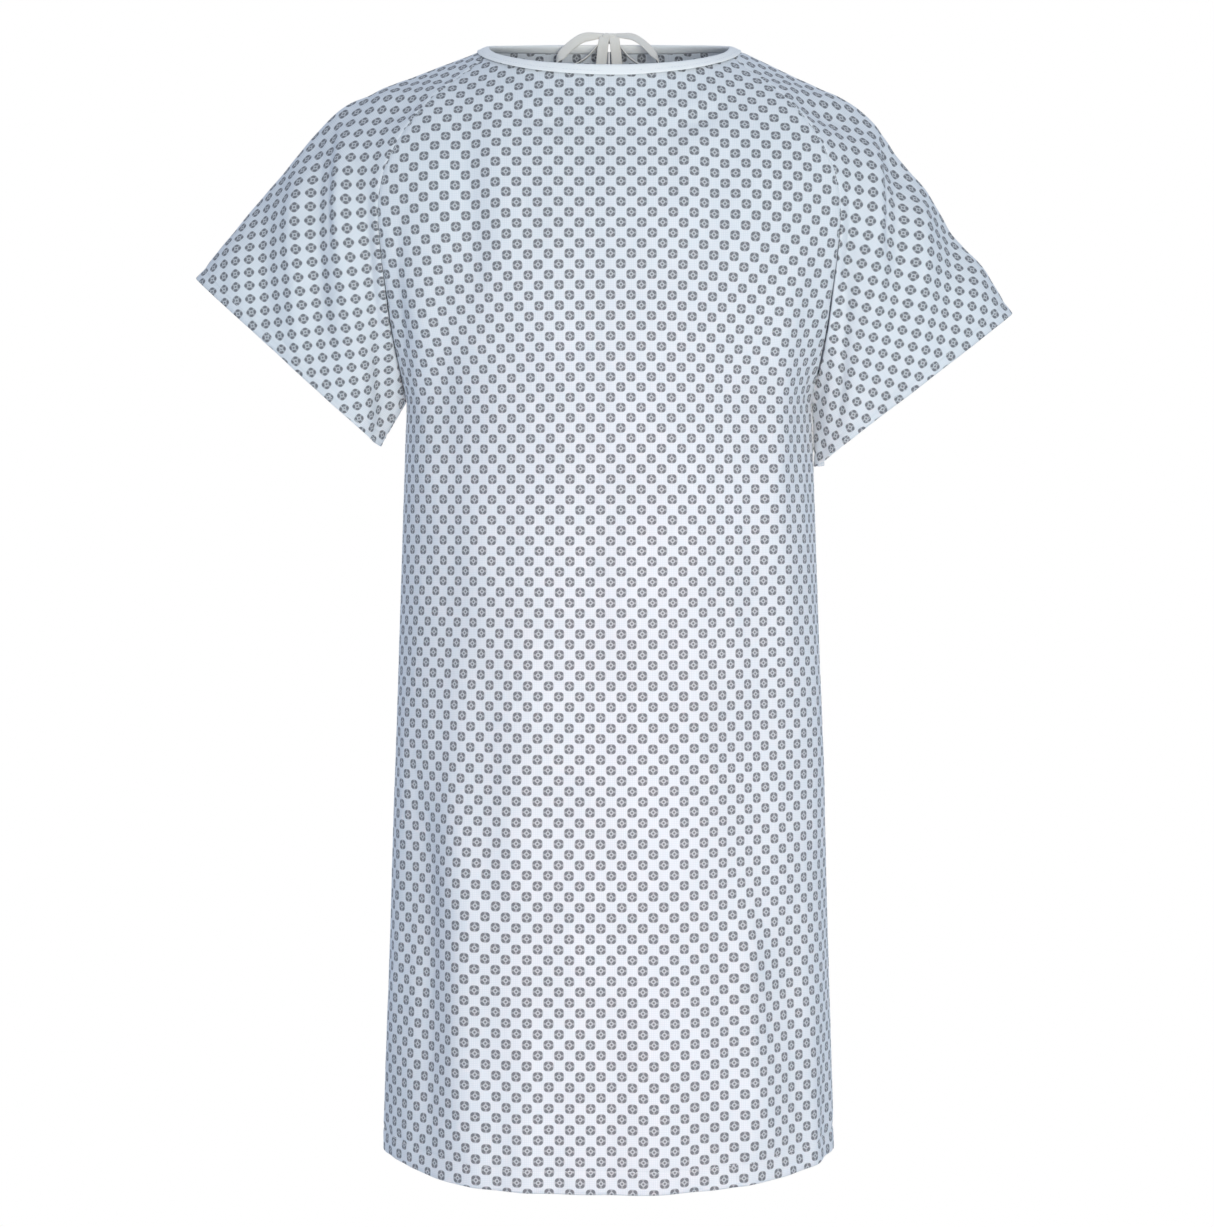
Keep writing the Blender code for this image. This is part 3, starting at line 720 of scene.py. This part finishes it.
def stitching(name, lines):
    """Lines of stitches: each line is its points and the cloth's normals there."""
    points, faces, flat = [], [], []
    for path, n in lines:
        gone = travelled(path)
        count = max(1, int(gone[-1] / STITCH_PITCH))
        for i in range(count):
            place = (i + 0.5) * gone[-1] / count
            ends = [np.array([np.interp(place + d, gone, path[:, k]) for k in range(3)])
                    for d in (-STITCH_LENGTH / 2, 0, STITCH_LENGTH / 2)]
            along = ends[2] - ends[0]
            along /= np.linalg.norm(along)
            up = np.array([np.interp(place, gone, n[:, k]) for k in range(3)])
            up -= along * up.dot(along)
            up /= np.linalg.norm(up)
            side = np.cross(up, along)
            centre = ends[1] + up * (CLOTH / 2 + STITCH_RADIUS * 0.35)
            start = len(points) * len(STITCH_POINTS)
            size = np.array([STITCH_LENGTH, STITCH_RADIUS, STITCH_RADIUS])
            local = STITCH_POINTS * size
            points.append(centre + local @ np.array([along, side, up]))
            around = np.arctan2(local[:, 2], local[:, 1]) * STITCH_RADIUS
            flat.append(np.stack([place + local[:, 0], around], 1))
            faces += [tuple(k + start for k in face) for face in STITCH_FACES]
    ob = link(name, grained_mesh(name, np.concatenate(points), faces, np.concatenate(flat)), THREAD)
    return ob


# ---- Body panels ----
def row_at(drop):
    """The row of the body panels at this height below the neck points, under the armhole."""
    return mix(ARMHOLE_SHARE, 1, (drop - UNDERARM_DROP) / (GOWN_LENGTH - UNDERARM_DROP))


def body_core(grid):
    core = np.zeros_like(grid)
    core[..., 2] = grid[..., 2]
    return core


PANEL_LENGTH = 1.09  # about, down a body panel, neckline to hem
FRONT_WIDTH = 0.52  # about, along the cloth, seam to seam
BACK_WIDTH = FRONT_WIDTH / 2
HEM_ROW = row_at(GOWN_LENGTH - HEM_HEIGHT)
PANEL_ROWS = shares(PANEL_LENGTH, GRID, (False, False), (HEM_ROW * PANEL_LENGTH,))
HEM_INDEX = min(range(len(PANEL_ROWS)), key=lambda j: abs(PANEL_ROWS[j] - HEM_ROW))
ARMHOLE_ROWS = [j for j, v in enumerate(PANEL_ROWS) if 0.012 < v < ARMHOLE_SHARE - 0.012]
SIDE_ROWS = [j for j, v in enumerate(PANEL_ROWS) if ARMHOLE_SHARE + 0.02 < v < HEM_ROW]
SPLIT_ROW = 90  # where the flap's edge stitches take over from the yoke's
EDGE_ROW = 150  # the row of a back panel along which places across it are measured
SEAM_COLUMN = 4  # a seam's stitches run on the fourth column from it


def seam_dip(distance, depth=SEAM_DEPTH, width=0.0022):
    """Cloth sinks into a seam or a line of stitching."""
    return -depth * np.exp(-(distance / width) ** 2)


def pucker(along, distance, size=0.0006, wave=0.013):
    """Small ripples across a line of stitching, from the pull of its thread."""
    ripple = np.array([[noise.noise(Vector((a / wave, 3.7, b * 4))) for a, b in zip(ra, rb)]
                       for ra, rb in zip(along, distance)])
    return ripple * size * np.exp(-(distance / 0.010) ** 2)


def hang(grid, lines, mirror, calm):
    """How far each point stands off the smooth surface: its drape and its own folds, less where calm."""
    lift = np.zeros(grid.shape[:2])
    for j in range(grid.shape[0]):
        for i in range(grid.shape[1]):
            p = Vector(grid[j, i])
            lift[j, i] = drape(p) + folds(p, lines, mirror)
    return lift * calm


def hem_curve(grid):
    """The hem hangs a little lower in the middle of the front and back than at the sides."""
    share = np.clip((-grid[..., 2] - 0.75) / 0.28, 0, 1) ** 2
    side = np.clip(np.abs(grid[..., 0]) / HEM_HALF_WIDTH, 0, 1) ** 3
    moved = grid.copy()
    moved[..., 2] += share * mix(-0.003, 0.010, side)
    return moved


def body_panel(across, front, lines=(), side=1):
    """Grid, normals and flat places of the front or one half of the back, hung and seamed."""
    def surface(u, v):
        return mirrored(panel(u, v, front), side)
    grid = hem_curve(lay(surface, across, PANEL_ROWS))
    n = normals(grid, body_core(grid))
    uv = grain(grid)
    along, down = run(grid, 1), run(grid, 0)
    edges = [along[:, -1:] - along]
    if front:
        edges.append(along)
    seam = np.minimum.reduce(edges)
    neck = np.clip(down / 0.05, 0, 1)
    armhole = np.array(PANEL_ROWS)[:, None] < ARMHOLE_SHARE
    calm = np.where(armhole, np.clip(seam / 0.020, 0, 1), np.clip(seam / 0.035, 0, 1)) * neck
    sunk = seam_dip(seam) + pucker(down, seam)
    lift = hang(grid, lines, 1, calm) + np.where(armhole, 1, SIDE_DIP) * sunk
    hem_line = np.abs(down[-1:] - down - HEM_HEIGHT)
    lift += seam_dip(hem_line, 0.0009, 0.0018) + pucker(along, hem_line, 0.0014)
    return grid + n * lift[..., None], n, uv


def make_front():
    across = [2 * s - 1 for s in shares(FRONT_WIDTH, GRID)]
    grid, n, uv = body_panel(across, True, FRONT_FOLDS)
    size, area = pattern_size(uv)
    hem = (grid[HEM_INDEX, 4:-4], n[HEM_INDEX, 4:-4])
    seams = {}
    for side, column in ((LEFT, -SEAM_COLUMN), (RIGHT, SEAM_COLUMN - 1)):
        seams[side] = [(grid[rows, column], n[rows, column]) for rows in (ARMHOLE_ROWS, SIDE_ROWS)]
    grid, n, uv = turned_in(grid, n, uv)
    grid, n, uv = folded_rows(grid, n, uv, HEM_HEIGHT)
    ob = sheet("front_panel_cloth", grid, uv, PRINT, CLOTH)
    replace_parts(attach(ob, "torso"), "front_panel")
    stitches = [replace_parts(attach(stitching("front_hem_stitches", [hem]), "torso"), "front_hem_stitching")]
    for name, side in SIDES:
        raglan_line, side_line = seams[side]
        for kind, line in (("front_raglan", raglan_line), ("side", side_line)):
            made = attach(stitching(f"{name}_{kind}_stitches", [line]), "torso")
            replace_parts(made, f"{name}_{kind}_stitching")
            stitches.append(made)


TIE_FROM_EDGE = 0.009  # a waist tie's middle, from the back panel's edge
TIE_TOP = -0.449
BACK_BLEND_START = Vector((0.200, 0.080, -0.280))
BACK_BLEND_END = Vector((0.000, 0.125, -0.420))


def open_back(ob, name, side):
    """Bakes the back panel's place into its mesh; its flap below is left closed, in line with the shoulder
    above.
    """
    start, end = BACK_BLEND_START.copy(), BACK_BLEND_END.copy()
    start.x *= side
    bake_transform(ob)
    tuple(start)
    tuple(end)


def make_back(name, side):
    first = BACK_EDGE_GAP / 2 / (CHEST_HALF_WIDTH * pi / 2)
    across = [mix(first, 1, s) for s in shares(BACK_WIDTH, GRID, (True, True), (EDGE_FACING,))]
    grid, n, uv = body_panel(across, False, (), side)
    size, area = pattern_size(uv)
    from_edge = run(grid, 1)[EDGE_ROW]
    facing = np.argmin(np.abs(from_edge - EDGE_FACING))
    lines = {
        "back_raglan": (grid[ARMHOLE_ROWS, -SEAM_COLUMN], n[ARMHOLE_ROWS, -SEAM_COLUMN]),
        "flap_hem": (grid[HEM_INDEX, 3:-4], n[HEM_INDEX, 3:-4]),
        "yoke_edge": (grid[4:SPLIT_ROW, facing], n[4:SPLIT_ROW, facing]),
        "flap_edge": (grid[SPLIT_ROW:HEM_INDEX, facing], n[SPLIT_ROW:HEM_INDEX, facing]),
    }
    tie_column = np.argmin(np.abs(from_edge - TIE_FROM_EDGE))
    tie_rows = [j for j in range(len(grid)) if grid[j, tie_column, 2] < TIE_TOP][::3]
    behind_tie = grid[tie_rows, tie_column]
    below_arm = (np.array(PANEL_ROWS) > ARMHOLE_SHARE + 0.01)[:, None]
    grid, n, uv = turned_in(grid, n, uv, (False, True), below_arm * SIDE_TUCK)
    turned = folded_rows(*swapped([g[:, ::-1] for g in (grid, n, uv)]), EDGE_FACING)
    grid, n, uv = swapped(turned)
    grid, n, uv = folded_rows(grid, n, uv, HEM_HEIGHT, 2)
    ob = sheet(f"{name}_back_cloth", grid, uv, PRINT, CLOTH)
    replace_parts(ob, f"{name}_back_yoke", f"{name}_back_flap")
    open_back(ob, name, side)
    for kind, line in lines.items():
        made = stitching(f"{name}_{kind}_stitches", [line])
        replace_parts(made, f"{name}_{kind}_stitching")
        if kind == "back_raglan":
            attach(made, "torso")
        else:
            open_back(made, name, side)
    return behind_tie


# ---- Sleeves ----
SLEEVE_GIRTH = 0.60  # sets the spacing of the points round a sleeve
SLEEVE_RUN = 0.26  # sets the spacing of the points along it
SLEEVE_MEAN_RUN = 0.20  # along it, halfway between its top and its underarm


def swing_sleeve(ob, name, side):
    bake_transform(ob)


def make_sleeve(name, side):
    hang_of = SLEEVE_HANG[side]

    def surface(w, s):
        return mirrored(sleeve(s, w, hang_of), side)
    hem_share = 1 - SLEEVE_HEM_HEIGHT / SLEEVE_MEAN_RUN
    around = [2 * s - 1 for s in shares(SLEEVE_GIRTH, GRID)]
    along = shares(SLEEVE_RUN, GRID * 0.9, (True, False), (SLEEVE_RUN * hem_share,))
    grid = lay(surface, around, along)
    n = normals(grid, np.mean(grid, axis=1, keepdims=True))
    uv = grain(grid)
    length, girth = run(grid, 0), run(grid, 1)
    seam = np.minimum(length, np.minimum(girth, girth[:, -1:] - girth))
    lift = hang(grid, SLEEVE_FOLDS, side, np.clip(seam / 0.018, 0, 1))
    lift *= np.where(grid[..., 1] < 0, 1, 0.7)
    lift += seam_dip(seam) + pucker(girth, length)
    hem_line = np.abs(length[-1:] - length - SLEEVE_HEM_HEIGHT)
    lift += seam_dip(hem_line, 0.0008, 0.0016) + pucker(girth, hem_line, 0.0011)
    grid = grid + n * lift[..., None]
    size, area = pattern_size(uv)
    hem_row = min(range(len(along)), key=lambda j: abs(hem_line[j, grid.shape[1] // 2]))
    hem = (grid[hem_row, 3:-3], n[hem_row, 3:-3])
    under = (grid[6:hem_row, 4], n[6:hem_row, 4])
    grid, n, uv = turned_in(grid, n, uv)
    top = turned_in(*swapped((grid, n, uv)), (True, False))
    grid, n, uv = folded_rows(*swapped(top), SLEEVE_HEM_HEIGHT)
    ob = sheet(f"{name}_sleeve_cloth", grid, uv, PRINT, CLOTH)
    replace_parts(ob, f"{name}_sleeve_yoke", f"{name}_sleeve")
    swing_sleeve(ob, name, side)
    for kind, line in (("sleeve_hem", hem), ("underarm", under)):
        made = stitching(f"{name}_{kind}_stitches", [line])
        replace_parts(made, f"{name}_{kind}_stitching")
        swing_sleeve(made, name, side)


# ---- Neck ----
BINDING_PROFILE = ((0.0108, 0.0011), (0.0098, 0.0015), (0.0075, 0.0014), (0.0045, 0.0016), (0.0018, 0.0015),
                   (0.0002, 0.0010), (-0.0006, 0.0), (0.0002, -0.0010), (0.0018, -0.0015),
                   (0.0040, -0.0016), (0.0060, -0.0014), (0.0078, -0.0009))


def neck_point(angle, drop):
    """A point of the whole neckline, from -270 degrees, round by the front, to 90."""
    if angle < -90:
        return mirrored(collar(-180 - angle, drop), RIGHT)
    return collar(angle, drop)


def neck_normal(angle, drop):
    along = neck_point(angle + 0.5, drop) - neck_point(angle - 0.5, drop)
    down = neck_point(angle, drop + 0.002) - neck_point(angle, drop)
    normal = along.cross(down).normalized()
    return normal if normal.dot(neck_point(angle, drop) - Vector((0, 0, -0.2))) > 0 else -normal


NECK_END = degrees(acos(0.0020 / NECK_HALF_WIDTH))


def make_binding():
    turns = [mix(-180 - NECK_END, NECK_END, i / 280) for i in range(281)]
    rows, flat, stitch_path, stitch_normal = [], [], [], []
    gone = 0.0
    for k, angle in enumerate(turns):
        if k:
            gone += (neck_point(angle, 0) - neck_point(turns[k - 1], 0)).length
        ripple = noise.noise(Vector((gone * 90, 0.3, 0))) * 0.0004
        stray = noise.noise(Vector((gone * 26, 7.7, 0))) * 0.0005
        normal = neck_normal(angle, 0.004)
        row, width = [], []
        for drop, lift in BINDING_PROFILE:
            base = neck_point(angle, max(0.0, drop + stray))
            up = neck_point(angle, 0) - neck_point(angle, 0.004)
            base += up.normalized() * max(0.0, -drop)
            row.append(base + normal * (lift + copysign(ripple, lift)))
            width.append((gone, drop if lift >= 0 else -drop))
        rows.append(row)
        flat.append(width)
        stitch_path.append(neck_point(angle, 0.0066) + normal * 0.0013)
        stitch_normal.append(normal)
    ob = sheet("neck_binding_tape", np.array(rows), np.array(flat), BINDING, 0.0005)
    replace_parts(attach(ob, "torso"), "neck_binding")
    line = (np.array(stitch_path[4:-4]), np.array(stitch_normal[4:-4]))
    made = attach(stitching("neck_binding_stitches", [line]), "torso")
    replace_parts(made, "neck_binding_stitching")


def ribbon(name, path, across, width=TAPE_WIDTH, cup=0.0005, thickness=0.0008, columns=8):
    """A flat tape along a path, its width along one direction for each point, a little cupped."""
    path = np.array(path)
    across = np.array([Vector(a).normalized() for a in across])
    tangent = np.gradient(path, axis=0)
    face = np.cross(tangent, across)
    face /= np.linalg.norm(face, axis=1)[:, None]
    gone = travelled(path)
    rows, flat = [], []
    for j in range(len(path)):
        row, place = [], []
        for i in range(columns + 1):
            k = 2 * i / columns - 1
            curl = cup * k * k + 0.0003 * noise.noise(Vector((gone[j] * 60, k * 1.5, len(name))))
            row.append(path[j] + across[j] * k * width / 2 + face[j] * curl)
            place.append((k * width / 2, gone[j]))
        rows.append(row)
        flat.append(place)
    return sheet(name, np.array(rows), np.array(flat), TAPE, thickness), gone[-1]


def knot_centre():
    low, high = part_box("bow_knot")
    return (low + high) / 2, high - low


LOOP_RISE = 0.0080
# One bow loop, from the knot out over the neck and back: shares of its reach, forward and height.
LOOP_LINE = ((0.00, 0.02, 0.30), (0.20, 0.14, 0.22), (0.42, 0.34, -0.02), (0.64, 0.58, -0.26),
             (0.83, 0.80, -0.58), (0.94, 0.95, -0.86), (0.88, 0.98, -1.00), (0.62, 0.80, -0.94),
             (0.34, 0.48, -0.66), (0.12, 0.16, -0.24), (0.00, 0.00, 0.00))


def make_bow():
    centre, size = knot_centre()
    out = size.x / 2 - 0.0015
    for name, side in SIDES:
        low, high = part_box(f"bow_{name}_loop")
        reach = (high.x if side > 0 else -low.x) - out
        reach *= 0.93 if side > 0 else 1.0
        forward = centre.y - low.y - TAPE_WIDTH / 2
        drop = centre.z - low.z - 0.0015
        points = [Vector((side * (out + reach * x), centre.y - forward * y,
                          centre.z + z * (drop if z < 0 else LOOP_RISE))) for x, y, z in LOOP_LINE]
        path = [smooth(points, i / 80) for i in range(81)]
        widths = []
        for k in range(81):
            ahead = (path[min(80, k + 1)] - path[max(0, k - 1)]).normalized()
            shown = (1.0 if side < 0 else 0.66) * ease((0.50 - k / 80) / 0.12)
            upright = Vector((-ahead.z, 0, ahead.x)) * side
            widths.append(upright * shown + Vector((0, 1, 0)) * (1.0 - shown * 0.62))
        pinch = [mix(0.60, 1.0, ease(min(k, 80 - k) / 12)) for k in range(81)]
        ob, length = ribbon(f"bow_{name}_loop_tape", path, widths, TAPE_WIDTH * 0.97)
        squeeze(ob, path, pinch)
        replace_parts(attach(ob, "neck_bow"), f"bow_{name}_loop")
        make_tail(name, side, centre, size)
        make_tie_end(name, side)
    make_knot(centre, size)


def squeeze(ob, path, pinch):
    """Gathers a tape towards its path, by a share for each row."""
    columns = len(ob.data.vertices) // len(path)
    for j, centre in enumerate(path):
        for i in range(columns):
            vert = ob.data.vertices[j * columns + i]
            vert.co = centre + (vert.co - centre) * pinch[j]


def make_tail(name, side, centre, size):
    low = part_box(f"bow_{name}_tail")[0]
    front = centre.y - size.y / 2 + 0.0012
    length = centre.z - low.z
    x = side * (TAPE_WIDTH / 2 + 0.0006)
    points = [Vector((x * 0.8, front, centre.z + 0.001)),
              Vector((x * 1.05, front - 0.0045, centre.z - size.z)),
              Vector((x * 1.4, front - 0.0075, centre.z - length * 0.35)),
              Vector((x * 1.75, front - 0.0082, centre.z - length * 0.70)),
              Vector((x * 2.0, front - 0.0090, low.z + 0.0005))]
    path = [smooth(points, i / 48) for i in range(49)]
    widths = [Vector((1, 0.22 * sin(i / 9 + side), 0)) for i in range(49)]
    ob, length = ribbon(f"bow_{name}_tail_tape", path, widths)
    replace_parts(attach(ob, "neck_bow"), f"bow_{name}_tail")


def make_tie_end(name, side):
    """The sewn end of one neck tie, on the binding's outer face beside the back opening."""
    end = NECK_END - 1.0
    start = end - degrees(0.024 / NECK_HALF_WIDTH)
    path, across = [], []
    for i in range(25):
        angle = mix(start, end, i / 24)
        p = neck_point(angle, BINDING_WIDTH / 2) + neck_normal(angle, 0.004) * 0.0029
        slope = neck_point(angle, BINDING_WIDTH * 0.9) - neck_point(angle, BINDING_WIDTH * 0.1)
        path.append(mirrored(p, side))
        across.append(mirrored(slope, side))
    ob, length = ribbon(f"{name}_neck_tie_end_tape", path, across, BINDING_WIDTH * 0.86, 0.0)
    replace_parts(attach(ob, "torso"), f"{name}_neck_tie_end")


def make_knot(centre, size):
    """The knot: tape wrapped round the loops, pulled tight, with soft creases across it."""
    rows, flat = [], []
    for j in range(41):
        k = 2 * j / 40 - 1
        x = k * size.x / 2 * 1.04
        swell = (1 - abs(k) ** 3.2) ** 0.42 if abs(k) < 1 else 0.0
        row, place = [], []
        for i in range(49):
            a = tau * i / 48
            crease = 1 - 0.10 * bump(sin(a + k * 1.3), 0.22) - 0.05 * cos(3 * a + 5 * k)
            ry, rz = size.y / 2 * 0.98, size.z / 2 * 0.98
            r = (0.30 + 0.70 * swell) * crease
            row.append(Vector((x, centre.y + ry * r * cos(a), centre.z + rz * r * sin(a))))
            place.append((x, a * 0.0048))
        rows.append(row)
        flat.append(place)
    ob = sheet("bow_knot_tape", np.array(rows), np.array(flat), TAPE, 0.0006, -1)
    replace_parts(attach(ob, "neck_bow"), "bow_knot")


# ---- Waist ties ----
def make_waist_tie(name, side, cloth):
    """A tape hanging down the back panel, over these points of its cloth, and sewn to it at the top."""
    low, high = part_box(f"{name}_waist_tie")
    length = high.z - low.z
    path = []
    for i in range(91):
        z = high.z - length * i / 90
        behind = [np.interp(-z, -cloth[:, 2], cloth[:, k]) for k in range(2)]
        sway = 0.0040 * sin(i / 90 * 5.2 + side) * ease(i / 30)
        path.append(Vector((behind[0] + sway, behind[1] + CLOTH + 0.0011 + 0.0008 * ease(i / 40), z)))
    across = [Vector((1, 0.10 * sin(i / 16 + side), 0)) for i in range(91)]
    ob, measured = ribbon(f"{name}_waist_tie_tape", path, across)
    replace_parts(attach(ob, f"{name}_waist_tie"), f"{name}_waist_tie")
    half = TAPE_WIDTH * 0.36
    face = np.array([0, 1, 0])
    down = [[path[j] + Vector((half * k, 0, 0)) for j in range(5)] for k in (-0.8, 0, 0.8)]
    across = [[path[j] + Vector((half * k, 0, 0)) for k in (-1, -0.5, 0, 0.5, 1)] for j in (1, 4)]
    lines = [(np.array(line) + face * 0.0004, np.repeat(face[None], len(line), 0)) for line in down + across]
    made = stitching(f"{name}_waist_tie_stitches", lines)
    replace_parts(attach(made, f"{name}_waist_tie"), f"{name}_waist_tie_tack")


# ---- Studio ----
def make_camera():
    """A level camera in front of the chest, its view shifted down to take in the hem."""
    data = bpy.data.cameras.new("camera")
    data.sensor_width = 36
    data.lens = 85.2
    data.shift_y = -0.100
    camera = new_object("camera", data)
    camera.location = (-0.002, -2.70, -0.412)
    camera.rotation_euler = (radians(90), 0, 0)
    bpy.context.scene.camera = camera


def area_light(name, place, target, size, power, colour, spread=180):
    data = bpy.data.lights.new(name, "AREA")
    data.shape = "RECTANGLE"
    data.size, data.size_y = size
    data.energy = power
    data.color = colour
    data.spread = radians(spread)
    ob = new_object(name, data)
    ob.location = place
    ob.rotation_euler = (Vector(target) - Vector(place)).to_track_quat("-Z", "Y").to_euler()
    ob.visible_camera = False


def white_to_camera(tree, lit):
    """Shows plain white to the camera, and the given shader to every other ray."""
    white, path = tree.nodes.new("ShaderNodeEmission"), tree.nodes.new("ShaderNodeLightPath")
    blend = tree.nodes.new("ShaderNodeMixShader")
    white.inputs[0].default_value = (1, 1, 1, 1)
    tree.links.new(path.outputs["Is Camera Ray"], blend.inputs[0])
    tree.links.new(lit, blend.inputs[1])
    tree.links.new(white.outputs[0], blend.inputs[2])
    return blend.outputs[0]


def make_studio():
    """A white studio: soft frontal light a little from the right, cool light from all round."""
    scene = bpy.context.scene
    scene.view_settings.view_transform = "Standard"
    world = bpy.data.worlds.new("studio")
    scene.world = world
    world.use_nodes = True
    tree = world.node_tree
    fill = tree.nodes["Background"]
    fill.inputs[0].default_value = (0.74, 0.84, 1.0, 1)
    fill.inputs[1].default_value = 0.655
    tree.links.new(white_to_camera(tree, fill.outputs[0]), tree.nodes["World Output"].inputs[0])
    area_light("key", (0.62, -2.75, -0.45), (0.0, 0, -0.62), (1.1, 1.1), 33.5, (0.98, 1.0, 0.87))
    area_light("strip", (0.10, -1.90, -0.84), (0.02, 0, -0.80), (0.30, 1.15), 0.37, (1.0, 0.62, 0.52), 20)
    area_light("back_fill", (-0.8, 2.8, 0.2), (0, 0, -0.5), (2.0, 2.0), 30, (1.0, 0.97, 0.92))
    bpy.ops.mesh.primitive_circle_add(vertices=96, radius=6, fill_type="NGON", location=(0, 0, -1.30))
    floor = bpy.context.object
    floor.name = "studio_floor"
    mat = bpy.data.materials.new("studio floor")
    mat.use_nodes = True
    shader = mat.node_tree.nodes["Principled BSDF"]
    shader.inputs["Base Color"].default_value = (0.62, 0.70, 0.78, 1)
    shader.inputs["Roughness"].default_value = 0.9
    surface = mat.node_tree.nodes["Material Output"].inputs[0]
    mat.node_tree.links.new(white_to_camera(mat.node_tree, shader.outputs[0]), surface)
    floor.data.materials.append(mat)


make_camera()
make_studio()
make_front()
for side_name, sign in SIDES:
    behind = make_back(side_name, sign)
    make_sleeve(side_name, sign)
    make_waist_tie(side_name, sign, behind)
make_binding()
make_bow()
